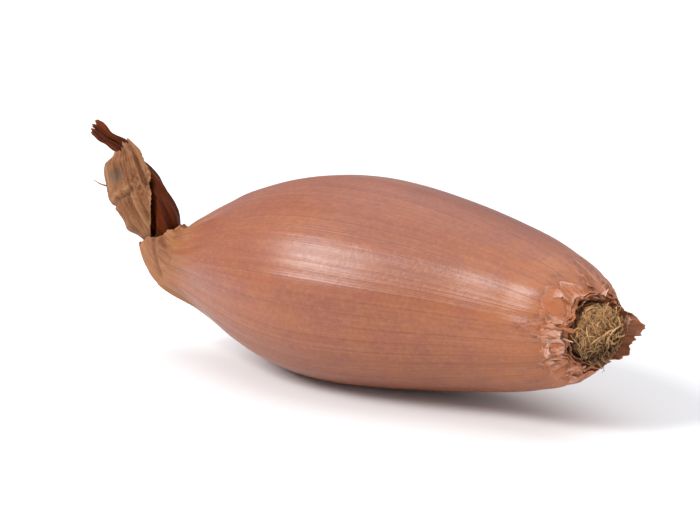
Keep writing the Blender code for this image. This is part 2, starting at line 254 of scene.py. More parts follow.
def neck_folds(s, angle):
    """The forked ridge at the neck, and the groove under it, each 0 to 1: bells across the lines of FOLDS."""
    bells = []
    for start, start_angle, end, end_angle, width in FOLDS:
        x = (s - BULB_LENGTH) / MM + start
        y = turned_by(angle, math.radians(start_angle)) * NECK_RADIUS
        dx, dy = start - end, math.radians(end_angle - start_angle) * NECK_RADIUS
        t = np.clip((x * dx + y * dy) / (dx * dx + dy * dy), 0, 1)
        bells.append(bump(np.hypot(x - t * dx, y - t * dy) / width))
    return np.maximum(bells[0], 0.75 * bells[1]), np.maximum(bells[2], 0.6 * bells[3])


def peeled(s, angle):
    """1 where the outermost layer of skin is gone, at the root end and in places at the neck, 0 where it is
    whole, with a short step between. Its torn edge runs in long points, worked out in millimetres."""
    s, top = s / MM, BULB_LENGTH / MM
    root_edge = 0.9 + 1.3 * np.clip(0.5 + 0.8 * ripple(24, angle, (1, 4), terms=5), 0, 1.5)
    root_edge = root_edge + 6.5 * torn(25, angle, (4, 9, 17, 35, 71)) ** 1.4
    neck_edge = top - 3.4 - 4 * np.clip(ripple(26, angle, (1, 4), terms=5), 0, 1.2)
    neck_edge = neck_edge - 6 * torn(27, angle, (5, 11, 23, 47, 97)) ** 1.4 + 12 * facing(angle, -70, 0.9)
    at_root = smooth_step((root_edge - s) / 0.3 + 0.5)
    at_neck = smooth_step((s - neck_edge) / 0.3 + 0.5) * smooth_step(top - 2 - neck_edge)
    return np.maximum(at_root, at_neck)


def skin_relief(s, angle, ribs):
    """Fine relief on the skin: hair-fine ribs, slight hollows, puckers at the root, wrinkles, gathers and a
    forked fold at the neck, the step down where a layer is gone, and the hollow of the nape."""
    share = s / BULB_LENGTH
    slim = np.clip(through(OUTLINE, np.clip(share, 0, 1)), 0.3, 1)
    uneven = 0.55 + 0.45 * ripple(5, angle, (2, 9), share, (0.2, 1.2))
    fine = 0.016 * waved(61, 0.9, 6, angle, (1, 4), share, (0.3, 1.5))
    fine = fine + 0.007 * waved(113, 1.3, 7, angle, (1, 5), share, (0.3, 2))
    hollows = 0.10 * ripple(8, angle, (1, 4), share, (0.6, 2.2)) * smooth_step(share / 0.1)
    puckers = 0.11 * waved(23, 2.2, 9, angle, (1, 5), share, (0.5, 2))
    puckers = puckers + 0.12 * ripple(12, angle, (5, 21), share, (1, 6))
    puckers = puckers * np.exp(-np.clip(s, 0, None) / (4.5 * MM))
    wrinkles = 0.08 * waved(23, 2.6, 10, angle, (1, 4), share, (0.5, 3))
    wrinkles = (wrinkles + 0.07 * ripple(11, angle, (9, 37), share, (1, 6), 9)) * rise(share, 0.7, 0.2)
    gathers = 0.05 * facing(angle, 0, 0.7) * rise(share, 0.90, 0.04)
    gathers = gathers * np.cos(TURN * s / (1.9 * MM) + 2 * np.sin(3 * angle))
    ridge, groove = neck_folds(s, angle)
    lower = 0.12 * peeled(s, angle) + 0.85 * peak(share, 0.90, 0.07) * facing(angle, 12, 0.9)
    relief = ribs * uneven * slim * fine + hollows + puckers + wrinkles + gathers
    return MM * (relief + 0.30 * (ridge - groove) - lower)


def skin_radius(s, angle, ribs=1.0):
    """The skin's radius with its fine relief."""
    return bulb_radius(s, angle) + skin_relief(s, angle, ribs)


def fringe_reach(angle, tear):
    """How far the torn skin stands past the root rim: the solids' teeth and long flap, with finer teeth."""
    teeth = 0.5 + 0.28 * np.sin(5 * angle + 1) + 0.24 * np.sin(8 * angle + 2.4)
    flap = facing(angle, FLAP_AT, FLAP_WIDTH)
    fine = 0.9 * (torn(21, angle, (9, 17, 31, 57)) - 0.4)
    fine = fine + 1.9 * flap * (torn(23, angle, (7, 16, 37, 73)) - 0.4)
    return FRINGE * teeth + FLAP * flap + tear * fine


def mouth_edge(angle, tear=0.0):
    """Place along the axis of the neck's torn edge: tilted, and a little ragged."""
    rag = MOUTH_RAG * (np.sin(3 * angle + 0.6) + 0.5 * np.sin(7 * angle))
    return BULB_LENGTH - MOUTH_TILT * np.cos(angle) + rag + tear * (torn(22, angle, (13, 29, 47)) - 0.4)


def rest_shift():
    """The move from the axis's own place to the frame: it sets the plain skin in the box of its solid."""
    angle = np.arange(72) / 72 * TURN
    s = np.linspace(0, BULB_LENGTH, 120)[:, None]
    every = np.concatenate([
        placed(s, angle, bulb_radius(s, angle)).reshape(-1, 3),
        placed(-fringe_reach(angle, 0), angle, bulb_radius(0 * angle, angle)),
        placed(mouth_edge(angle), angle, bulb_radius(BULB_LENGTH + 0 * angle, angle)),
    ])
    low, high = (np.array(corner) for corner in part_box("bulb"))
    middle = (low + high) / 2 - (every.min(axis=0) + every.max(axis=0)) / 2
    return np.array([middle[0], middle[1], high[2] - every[:, 2].max()])


SHIFT = rest_shift()


# Meshes


def grid_faces(rows, columns, wrap_rows=False):
    """Corner numbers of the quads of a grid of points, row by row. Its columns run all the way round."""
    row = np.arange(rows if wrap_rows else rows - 1)[:, None]
    column = np.arange(columns)[None, :]
    next_row, next_column = (row + 1) % rows, (column + 1) % columns
    corners = [
        row * columns + column, row * columns + next_column,
        next_row * columns + next_column, next_row * columns + column,
    ]
    return np.stack(corners, axis=-1).reshape(-1, 4)


def closed_faces(rows, columns):
    """Faces of rings of points with a pole at each end, which are numbered last: the grid, and two fans."""
    i, last = np.arange(columns), (rows - 1) * columns
    after = (i + 1) % columns
    low = np.stack([np.full(columns, rows * columns), after, i], axis=-1)
    high = np.stack([np.full(columns, rows * columns + 1), last + i, last + after], axis=-1)
    return [grid_faces(rows, columns), low, high]


def each_of(count, size, faces):
    """The faces of one shape repeated for a count of shapes, each with a size in points."""
    first = (np.arange(count) * size)[:, None, None]
    return [(first + group).reshape(-1, group.shape[1]) for group in faces]


def with_poles(values):
    """Values on a grid as a flat list, with the mean of the first and the last ring for the two poles."""
    ends = np.stack([values[0].mean(axis=0), values[-1].mean(axis=0)])
    return np.concatenate([values.reshape(-1, *values.shape[2:]), ends])


def and_back(values, axis=0):
    """Values followed by the same values in reverse, for the two faces of a sheet."""
    return np.concatenate([values, np.flip(values, axis)], axis=axis)


def signed_volume(points, faces):
    """Volume inside a closed surface, negative where its faces point in."""
    total = 0.0
    for group in faces:
        a = points[group[:, 0]]
        for k in range(1, group.shape[1] - 1):
            total += np.einsum("ij,ij->i", a, np.cross(points[group[:, k]], points[group[:, k + 1]])).sum()
    return total / 6


def add_piece(name, finish, slot, points, faces, values=None):
    """Makes a smooth-shaded piece that rides on the root body, with its faces pointing out."""
    mesh = bpy.data.meshes.new(name)
    mesh.from_pydata(points.tolist(), [], [face for group in faces for face in group.tolist()])
    for key, value in (values or {}).items():
        kind, field = ("FLOAT_VECTOR", "vector") if value.ndim == 2 else ("FLOAT", "value")
        mesh.attributes.new(key, kind, "POINT").data.foreach_set(field, value.astype(np.float32).ravel())
    mesh.shade_smooth()
    mesh.materials.append(finish)
    if signed_volume(points, faces) < 0:
        mesh.flip_normals()
    mesh.update()
    piece = bpy.data.objects.new(name, mesh)
    bpy.context.scene.collection.objects.link(piece)
    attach(piece, "root")
    return piece


def strands(paths, radii, sides):
    """Tubes along many paths at once. paths is strands by points by 3 and radii is strands by points. Each
    ring stands square to its path, and each tube closes in a point at both ends."""
    count, steps = radii.shape
    ahead = np.gradient(paths, axis=1)
    ahead /= np.linalg.norm(ahead, axis=-1, keepdims=True)
    side = np.cross(ahead, np.array([0.31, 0.52, 0.79]))
    side /= np.linalg.norm(side, axis=-1, keepdims=True)
    angle = np.arange(sides) / sides * TURN
    other = np.cross(ahead, side)
    ring = side[:, :, None] * np.cos(angle)[:, None] + other[:, :, None] * np.sin(angle)[:, None]
    points = (paths[:, :, None] + radii[:, :, None, None] * ring).reshape(count, steps * sides, 3)
    flat = np.concatenate([points, paths[:, :1], paths[:, -1:]], axis=1)
    return flat.reshape(-1, 3), each_of(count, steps * sides + 2, closed_faces(steps, sides))


def per_strand(values, steps, sides):
    """Values given for each strand and step, or for each strand, as one for each point that strands makes."""
    values = np.broadcast_to(values, (len(values), steps))
    return np.concatenate([np.repeat(values, sides, axis=1), values[:, :1], values[:, -1:]], axis=1).ravel()


def lay_of(s, angle, drum=BULB_RADIUS / MM):
    """Where a point lies on the skin, in millimetres: two ways round a drum of even radius, and along."""
    angle = angle + 0 * s
    return np.stack([drum * np.cos(angle), drum * np.sin(angle), s / MM + 0 * angle], axis=-1)


def sheet(s, angle, outer, inner, edge):
    """A thin sheet all the way round the axis, closed at both rims. edge is a value for each of its rows."""
    points = np.concatenate([placed(s, angle, outer), placed(s, angle, inner)[::-1]]) + SHIFT
    values = {
        "lay": lay_of(and_back(s), angle).reshape(-1, 3),
        "edge": and_back(edge + 0 * angle).ravel(),
        "tone": np.full(points[..., 0].size, 0.5),
    }
    return points.reshape(-1, 3), [grid_faces(len(points), AROUND, wrap_rows=True)], values


def skin_rings(shape):
    """The skin from the root dish to the neck's mouth, as rings of (place, radius, whether inside)."""
    angle, middle = AROUND_ANGLES, SKIN_EDGE / 2
    reach = fringe_reach(angle, shape.tear)
    rim = skin_radius(0 * angle, angle, shape.ribs)
    tip = rim - 0.3 * MM + 0.28 * reach + 0.12 * MM * ripple(31, angle, (3, 12))
    pucker = ripple(32, angle, (9, 27), terms=9)
    for share in (0.3, 0.75, 1.0):
        yield DISH_DEPTH, share * DISH_RADIUS, 1.0
    for t in np.linspace(0, 1, 14)[1:]:
        flare = (tip - middle - DISH_RADIUS) * rise(t, 0.35, 0.65)
        gather = 0.13 * MM * math.sin(math.pi * t) * pucker
        yield DISH_DEPTH + (-reach - DISH_DEPTH) * t, DISH_RADIUS + flare + gather, 1.0
    for t in np.linspace(0, 1, 15)[:-1]:
        yield -reach * (1 - t), tip + middle + (rim - tip - middle) * smooth_step(t), 0.0
    edge = mouth_edge(angle, 0.5 * shape.tear)
    spread = np.linspace(0, 1, BODY_ROWS)
    for share in spread - 0.055 * np.sin(TURN * spread):
        s = share * BULB_LENGTH + (edge - BULB_LENGTH) * rise(share, 0.88, 0.12)
        yield s, skin_radius(s, angle, shape.ribs), 0.0
    lip = skin_radius(edge, angle, shape.ribs)
    yield edge + 0.05 * MM, lip - 0.06 * MM, 0.0
    yield edge, lip - 0.16 * MM, 1.0
    for t in (0.3, 0.65, 1.0):
        yield edge - 0.8 * MM * t, (lip - 0.16 * MM) * (1 - t) + t * np.minimum(lip, MOUTH_RADIUS), 1.0
    for depth, share in ((0.7, 1.0), (1.0, 0.97), (1.0, 0.5)):
        yield BULB_LENGTH - depth * MOUTH_DEPTH, share * MOUTH_RADIUS, 1.0


def skin_surface(shape):
    """The whole skin as one closed grid: root dish, torn fringe, body, neck edge and the neck's mouth."""
    angle, level = AROUND_ANGLES, np.ones(AROUND)
    s, radius, inside = np.moveaxis([[part * level for part in ring] for ring in skin_rings(shape)], 1, 0)
    points = placed(s, angle, radius) + SHIFT
    points[..., 2] = np.maximum(points[..., 2], 0)
    share = s / BULB_LENGTH
    uneven = 0.5 * ripple(61, angle, (2, 11), share, (0.5, 3))
    dry = smooth_step((share - 0.82 + 0.03 * uneven) / 0.14)
    # Painted shade: a mask of the upper side, which the skin's colour makes darker and redder.
    top = facing(angle, 25, 0.95) * smooth_step(share / 0.2) * (1 - rise(share, 0.75, 0.2))
    values = {
        # Painted shade: the groove of the neck's fold, darkened in the skin's colour.
        "crease": 0.75 * neck_folds(s, angle)[1] * (1 - inside),
        "peel": peeled(s, angle) * (1 - inside),
        "lay": lay_of(s, angle),
        "dry": np.maximum(dry, 0.3 * smooth_step((0.03 - share + 0.012 * uneven) / 0.03)),
        "inside": inside,
        # Painted shade on the upper side.
        "top": np.clip(top * (0.85 + 0.3 * uneven), 0, 1),
    }
    values = {key: with_poles(value) for key, value in values.items()}
    return with_poles(points), closed_faces(*s.shape), values


def torn_layer(shape, seed, lift, curl):
    """A thin torn sheet round the root end: it lies a little off the skin, and its ragged edges curl up."""
    angle = AROUND_ANGLES
    patch = np.clip(0.35 + 0.9 * ripple(71, angle, (1, 5), terms=5), 0, 1.6) + 0.5 * facing(angle, -105, 1.2)
    near = 0.25 * MM - 0.45 * fringe_reach(angle, shape.tear) - 0.5 * MM * torn(72, angle, (5, 13, 37))
    far = near + 0.15 * MM + patch * MM * (0.5 + 2.3 * torn(70, angle, (3, 8, 19, 47)))
    wide = np.maximum(far - near, 0.05 * MM)
    steps = np.linspace(0, 1, 22)[:, None]
    s = near + wide * steps
    base = skin_radius(np.maximum(s, 0), angle) - 0.12 * np.clip(-s, 0, None)
    uneven = 0.6 + 0.5 * ripple(seed, angle, (3, 15), 6 * s / BULB_LENGTH, (0.4, 2))
    to_neck = rise(steps, 0.55, 0.45) * smooth_step(wide / (1.2 * MM))
    to_root = rise(steps, 0.5, -0.5)
    off = lift * (0.6 + 0.5 * uneven) + curl * uneven * (0.55 * to_neck**2 + 0.5 * to_root**2)
    off = off + 0.07 * MM * ripple(seed + 1, angle, (9, 33), 8 * s / BULB_LENGTH, (0.5, 4))
    inner = base + np.maximum(off, 0.05 * MM)
    return sheet(s, angle, inner + 0.06 * MM, inner, np.abs(2 * steps - 1) ** 3)


def inner_ring(seed):
    """Torn ends of the inner layers, in the gap round the root plate: a thin wall that leans out from the
    dish's floor, with a ragged top."""
    angle, t = AROUND_ANGLES, np.linspace(0, 1, 16)[:, None]
    top = 0.35 * MM - 1.5 * MM * torn(seed, angle, (4, 9, 21, 43, 83))
    s = 1.3 * MM + (top - 1.3 * MM) * t
    folds = 0.12 * ripple(seed + 1, angle, (9, 31), 0.7 * t, (0, 0.6), 9)
    folds = folds + 0.10 * ripple(seed + 2, angle, (1, 4), t, (0, 1))
    middle = (3.72 + 0.62 * t**1.3 + folds * t) * MM
    wall = (0.10 - 0.05 * t) * MM
    points, faces, values = sheet(s, angle, middle + wall, middle - wall, 0.7 * t**2)
    values["tone"] = and_back(0.5 + 0.5 * np.sin(3 * angle + 2) + 0 * t).ravel()
    return points, faces, values


def packed(bearing, radius):
    """1 on the side of the plate where the roots lie flat and close, 0 on the side where they stand loose."""
    return smooth_step(0.66 - 0.95 * radius / PLATE_RADIUS * np.cos(bearing - LOOSE_AT))


def dome_height(radius, bearing):
    """How far the plate stands out past the root rim: fuller on its packed side."""
    share = np.minimum(radius / PLATE_RADIUS, 1)
    return PLATE_PROUD * (1 - 0.45 * share**2) + 0.55 * MM * packed(bearing, radius) * (1 - 0.5 * share**4)


def on_plate(at, above):
    """Points over the plate's dome. at is the place across the axis, and above the height over the dome."""
    radius, bearing = np.hypot(*at), np.arctan2(at[1], at[0])
    held = np.minimum(radius, 0.5 * (radius + PLATE_RADIUS))
    return placed(-(dome_height(held, bearing) + above), bearing, held) + SHIFT


def plate_surface():
    """The plate: a domed disc in the dish, lumpy where roots left it, and drawn in at the back."""
    angle, t = np.arange(120) / 120 * TURN, np.linspace(0, 1, 44)[:, None]
    share = np.sin(0.5 * math.pi * np.clip(t / 0.8, 0.02, 1))
    back = rise(t, 0.8, 0.2)
    lumps = ripple(81, angle, (1, 7), 3 * share, (0.3, 1.5))
    lumps = lumps + 0.5 * ripple(82, angle, (7, 19), 5 * share, (1, 3))
    radius = PLATE_RADIUS * share * (1 - 0.04 * back) * (1 + 0.02 * np.cos(5 * angle) * (1 - back))
    proud = dome_height(PLATE_RADIUS * share, angle) + 0.13 * MM * lumps * smooth_step(share / 0.15)
    points = placed(back * (DISH_DEPTH - GAP) - proud * (1 - back), angle + 0 * t, radius) + SHIFT
    closing = points[-1:] * 0.3 + points[-1:].mean(axis=1, keepdims=True) * 0.7
    points = np.concatenate([points, closing])
    return with_poles(points), closed_faces(*points.shape[:2])


def drawer(draw, *shape):
    """A function that draws even random numbers from low to high, in one shape of array."""
    return lambda low, high: draw.uniform(low, high, shape)


def main_root(rng, k, t):
    """One of the solids' roots: it rises out of the plate, curls over and turns aside. t runs along it."""
    out = 0.88 * PLATE_RADIUS * math.sqrt((k + 0.5) / ROOT_COUNT)
    bearing = k * GOLDEN_TURN
    heading = bearing + rng.uniform(-1.6, 1.6)
    ahead = heading + rng.uniform(-1.4, 1.4) * t * (1 + 0.8 * t)
    length, height = rng.uniform(*ROOT_LENGTH), rng.uniform(*ROOT_HEIGHT)
    at = out * np.array([[math.cos(bearing)], [math.sin(bearing)]])
    at = at + 0.7 * length * t * t * np.stack([np.cos(ahead), np.sin(ahead)])
    loose = 1 - packed(bearing, out)
    dome = PLATE_PROUD * (1 - 0.45 * np.minimum(np.hypot(*at) / PLATE_RADIUS, 1) ** 2)
    above = (height * loose + 0.5 * MM) * np.sin(0.62 * math.pi * t) - 0.5 * MM
    return on_plate(at, above - loose * 0.3 * dome)


def root_mat(count, t, seed):
    """Fine roots all over the plate: combed flat and close on one side, loose and curled on the other. Gives
    the paths and how packed each is."""
    draw = np.random.default_rng(seed)
    each = drawer(draw, count, 1)
    k = np.arange(count)[:, None]
    out = 0.97 * PLATE_RADIUS * np.sqrt((k + 0.5) / count)
    bearing = k * GOLDEN_TURN + each(-0.15, 0.15)
    flat = packed(bearing, out)
    heading = LOOSE_AT + each(-1, 1) * (0.5 + 2.4 * (1 - flat))
    ahead = heading + t * each(-1, 1) * (0.7 + 3.2 * (1 - flat))
    step = each(0.7, 1.5) * MM * (1 + 0.9 * (1 - flat)) / (len(t) - 1)
    at = np.stack([out * np.cos(bearing) + 0 * t, out * np.sin(bearing) + 0 * t])
    at = at + np.cumsum(step * np.stack([np.cos(ahead), np.sin(ahead)]), axis=-1)
    low = each(0.0, 0.08) - 0.05 + 0.05 * np.sin(math.pi * t)
    high = each(0.2, 1.15) * np.sin(0.66 * math.pi * t) - 0.15
    return on_plate(at, MM * (flat * low + (1 - flat) * high)), flat


def root_hairs(count, t, seed):
    """Wispy hairs that start at the rim of the root dish and wave outward."""
    draw = np.random.default_rng(seed)
    each = drawer(draw, count, 1)
    bearing = each(0, TURN) + each(-0.9, 0.9) * t
    out = DISH_RADIUS * (0.86 + each(0.0, 0.5) * t)
    wave = 0.25 * MM * np.sin(each(4, 11) * t + each(0, 6))
    s = -0.2 * MM - each(0.6, 2.0) * MM * np.sin(0.7 * math.pi * t)
    return placed(s, bearing, out + wave) + SHIFT


def root_strands(draw, paths, t, thick, tone, start):
    """Tubes along the paths of roots, waved and of uneven thickness, thinner toward their tips. Each point
    has its place along, which begins at start, and its tone."""
    count, sides = len(paths), 7
    thick = thick * np.ones((count, 1))
    waves = draw.uniform(5, 16, (count, 1, 3)) * t[None, :, None] + draw.uniform(0, 6, (count, 1, 3))
    paths = paths + 0.35 * thick[:, :, None] * np.sin(waves)
    radii = thick * draw.uniform(0.65, 1.25, (count, 1)) * (1 - 0.6 * t**1.5)
    radii = radii * (1 + 0.16 * np.sin(t * 21 + draw.uniform(0, 6, (count, 1))))
    values = {
        "along": per_strand((start + (1 - start) * t) * np.ones((count, 1)), len(t), sides),
        "tone": per_strand(tone * draw.uniform(0.2, 1.2, (count, 1)), len(t), sides),
    }
    return *strands(paths, radii, sides), values


def sheath_half_widths(s):
    """The sheath's outer half widths at a place past the mouth: its wide way and its thin way."""
    return [through([(row[0], row[way]) for row in SHEATH_OUTLINE], s / SHEATH_LENGTH) for way in (1, 2)]


def sheath_gap(s):
    """The open side of the sheath, as its middle and its width: one edge runs across as it goes up."""
    up = np.clip(s / SHEATH_LENGTH, 0, 1)
    low, high, far = SHEATH_GAP
    near = low + (high - low) * np.minimum(up / 0.62, 1) ** 0.6
    return (near + far) / 2, far - near


def oval_radius(angle, wide, thin):
    """Radius of an oval with its wide way at SHEATH_WIDE_AT."""
    return 1 / np.hypot(np.cos(angle - SHEATH_WIDE_AT) / wide, np.sin(angle - SHEATH_WIDE_AT) / thin)


def drawn_in(s, angle):
    """How far the far shoulder of the sheath, and the leaf inside it, lie in from the oval near the top."""
    return 0.70 * MM * peak(s / SHEATH_LENGTH, 0.74, 0.15) * facing(angle, 28, 0.75)


def sheath_relief(up, share, angle, loose):
    """Relief of the sheath in millimetres, how sunk it is and how high its ridges stand, which its colour uses
    for
    painted shade and a painted highlight: lengthwise pleats and fibres, a kink across it, a puff, a dent, a
    flute and a groove beside each other, a shoulder and a waist under it, a belly, and a rolled free edge."""
    left, front = -146, -100
    kink_at = 0.53 + 0.05 * np.sin(angle + 0.6) + 0.02 * np.sin(3 * angle)
    past = up - kink_at
    above = smooth_step(past / 0.04 + 0.5)
    pleats = 0.20 * (np.cos(9 * angle + 1.1 * above) + 0.6 * np.cos(14 * angle + 3 * up + 1.5 * above))
    fine = 0.035 * waved(37, 1.6, 42, angle, (1, 3), up, (0.5, 2))
    fine = fine + 0.016 * ripple(43, angle, (50, 96), up, (0.3, 2), 9)
    fine = fine + 0.08 * ripple(47, angle, (2, 8), up, (1, 4), 9)
    crinkle = 0.085 * peak(past, 0.05, 0.13) * ripple(53, angle, (9, 24), up, (6, 15), 9)
    pinch = 0.26 * peak(past, 0, 0.02) * (0.6 + 0.4 * ripple(48, angle, (2, 7)))
    puff = 0.20 * peak(past, 0.06, 0.035) * facing(angle, front, 0.8)
    dent = 0.55 * peak(up, 0.73, 0.08) * bump(turned_by(angle, math.radians(front) - 0.12) / 0.34)
    flute = 0.30 * peak(up, 0.28, 0.2) * facing(angle, -74, 0.13)
    groove = 0.26 * peak(up, 0.28, 0.2) * facing(angle, -92, 0.11)
    shoulder = 0.42 * peak(up, 0.22, 0.07) * facing(angle, left, 0.5)
    waist = 0.30 * peak(up, 0.10, 0.05) * facing(angle, left, 0.6)
    belly = 1.10 * peak(up, 0.68, 0.30) * bump(turned_by(angle, math.radians(left) - 0.1) / 0.8)
    roll = 0.16 * peak(share, 1, 0.025) * loose
    sunk = pinch + dent + groove
    relief = pleats + fine + crinkle + puff + flute + shoulder - waist + roll + belly - sunk
    return relief, sunk, flute + puff + roll + 0.35 * pleats + 1.2 * crinkle


def sheath_surface(shape):
    """The papery sheath: a thin pleated wall bent round the inner leaf, kinked across, dented, puckered at
    its top, and torn there and along both free sides."""
    rows, across = 150, 210
    s = np.linspace(-MOUTH_DEPTH + GAP, SHEATH_LENGTH, rows)[:, None]
    up = np.clip(s / SHEATH_LENGTH, 0, 1)
    share = np.linspace(0, 1, across)[None, :]
    loose = smooth_step(up / 0.15)
    middle, gap = sheath_gap(s)
    ragged = 0.03 * ripple(41, 0 * s, (0, 0), up, (1, 5), 5) + 0.022 * ripple(46, 0 * s, (0, 0), up, (9, 30))
    gap = gap + loose * ragged
    angle = middle + gap / 2 + (TURN - gap) * share
    relief, sunk, painted_ridge_light_and_shade = sheath_relief(up, share, angle, loose)
    rag = 0.4 * MM * rise(up, 0.7, 0.3) * (np.sin(2 * angle + 1) + 0.5 * np.sin(5 * angle))
    rag = rag + 1.3 * shape.tear * rise(up, 0.86, 0.14) * (torn(44, angle, (7, 17, 37, 71)) - 0.35)
    outer = oval_radius(angle, *sheath_half_widths(s))
    outer = outer + rise(s, 0.5 * MM, 3 * MM) * (relief * MM - drawn_in(s, angle))
    outer = outer * (1 - 0.32 * rise(up, 0.86, 0.14))
    outer = outer + 0.14 * MM * rise(up, 0.8, 0.2) * ripple(45, angle, (5, 17))
    near_side = np.minimum(share, 1 - share)
    wall = (0.14 + 0.20 * smooth_step(near_side * 14) * (1 - rise(up, 0.8, 0.2))) * MM
    at = BULB_LENGTH + s + rag
    inner = placed(at, angle, outer - wall)[:, ::-1]
    points = np.concatenate([placed(at, angle, outer), inner], axis=1) + SHIFT
    edge = np.maximum(1 - near_side * 40, 0) + 0.8 * rise(up, 0.93, 0.07)
    values = {
        "lay": and_back(lay_of(s, angle, 4), 1).reshape(-1, 3),
        "edge": and_back(edge, 1).ravel(),
        "inside": np.concatenate([0 * outer, 0 * outer + 1], axis=1).ravel(),
        "sunk": and_back(sunk, 1).ravel(),
        "painted_ridge_light_and_shade": and_back(painted_ridge_light_and_shade, 1).ravel(),
    }
    columns, i = 2 * across, np.arange(across - 1)
    cap = np.stack([i, i + 1, columns - 2 - i, columns - 1 - i], axis=-1)
    faces = [grid_faces(rows, columns), cap[:, ::-1], (rows - 1) * columns + cap]
    return points.reshape(-1, 3), faces, values


def inner_leaf_surface():
    """The dark inner leaf: a flattened, wrinkled strand that swells where the sheath is open. Its tip leans
    out of the top, creased and twisted, and ends in a frayed square cut with a hollow in it."""
    rows, columns = 170, 120
    end = SHEATH_LENGTH + TIP_LENGTH
    s = np.linspace(-MOUTH_DEPTH + GAP, end - 0.25 * MM, rows)[:, None]
    angle = np.arange(columns)[None, :] / columns * TURN
    middle, gap = sheath_gap(s)
    bare = 0.5 * gap - np.abs(turned_by(angle, middle))
    shown = rise(s, -3.0 * MM, 0.8 * MM) * rise(bare, 0.06, 0.34)
    held = 0.34 * MM * (1 - rise(s, SHEATH_LENGTH - 2.5 * MM, 2.5 * MM))
    inset = SHEATH_WALL + GAP + 0.36 * MM + held - (0.95 * MM + held) * shown
    foot = 1.05 * MM * np.clip(1 - s / (5.5 * MM), 0, 1) ** 1.2 * rise(s, -1.7 * MM, 2.4 * MM)
    body = oval_radius(angle, *sheath_half_widths(np.minimum(s, SHEATH_LENGTH)))
    body = body - inset + foot * facing(angle, 24, 0.8) - drawn_in(s, angle)
    tip = rise(s, SHEATH_LENGTH - 4.5 * MM, 3.5 * MM)
    past = np.clip((s - SHEATH_LENGTH) / TIP_LENGTH, 0, 1)
    wide_tip = TIP_HALF_WIDTHS[0] * (1 + 0.22 * peak(past, 0.82, 0.25) - 0.2 * peak(past, 0.35, 0.16))
    strap = oval_radius(angle + 0.7 * past, wide_tip, TIP_HALF_WIDTHS[1] * (1 - 0.18 * past))
    crease = 0.22 * bump(turned_by(angle, 5.4 - 0.9 * past) / 0.22) + 0.12 * bump(turned_by(angle, 4.2) / 0.2)
    strap = strap - MM * crease * smooth_step(past / 0.2)
    radius = body * (1 - tip) + tip * np.minimum(body, strap)
    share = s / SHEATH_LENGTH
    wrinkles = 0.06 * ripple(51, angle, (5, 16), share, (0.4, 2.0)) * (1 + 0.4 * tip)
    wrinkles = wrinkles + 0.03 * ripple(52, angle, (18, 40), share, (1, 4))
    radius = radius * (1 + 0.05 * np.cos(5 * angle + 1) + 0.03 * np.sin(7 * angle + 900 * s))
    radius = np.maximum(radius + MM * wrinkles * rise(s, 0.5 * MM, 2 * MM), 0.16 * MM)
    fray = 1.0 * MM * (torn(53, angle, (2, 5, 11, 23)) - 0.55) * rise(s, end - 1.8 * MM, 1.8 * MM)
    at = BULB_LENGTH + s + fray
    lean = 0.9 * MM * rise(s, SHEATH_LENGTH - 0.6 * MM, 3 * MM)[..., None] * TIP_ASIDE
    points = [placed(at, angle, radius) + lean]
    hollow = ((0.03, 0.84), (0.4, 0.6), (0.8, 0.3))
    for depth, share_left in hollow:
        points.append(placed(at[-1:] - depth * MM, angle, radius[-1:] * share_left) + lean[-1:])
    points = np.concatenate(points) + SHIFT
    s = np.concatenate([s] + [s[-1:]] * len(hollow))
    light = rise(s, end - 1.1 * MM, 0.9 * MM) + 0 * angle
    values = {"lay": with_poles(lay_of(s, angle, 2.5)), "edge": with_poles(light)}
    return with_poles(points), closed_faces(*points.shape[:2]), values


def stray_fibre():
    """A hair of dry leaf that sticks out of the sheath's side and bends up."""
    t, start, side = np.linspace(0, 1, 12), 0.66, math.radians(-150)
    s = BULB_LENGTH + (start + 0.07 * t) * SHEATH_LENGTH + 0.5 * MM * t * t
    out = oval_radius(side, *sheath_half_widths(start * SHEATH_LENGTH)) + 0.5 * MM + 2.2 * MM * t
    path = placed(s, side + 0.12 * np.sin(5 * t), out) + SHIFT
    return strands(path[None], 0.16 * MM * (1 - 0.65 * t)[None], 6)


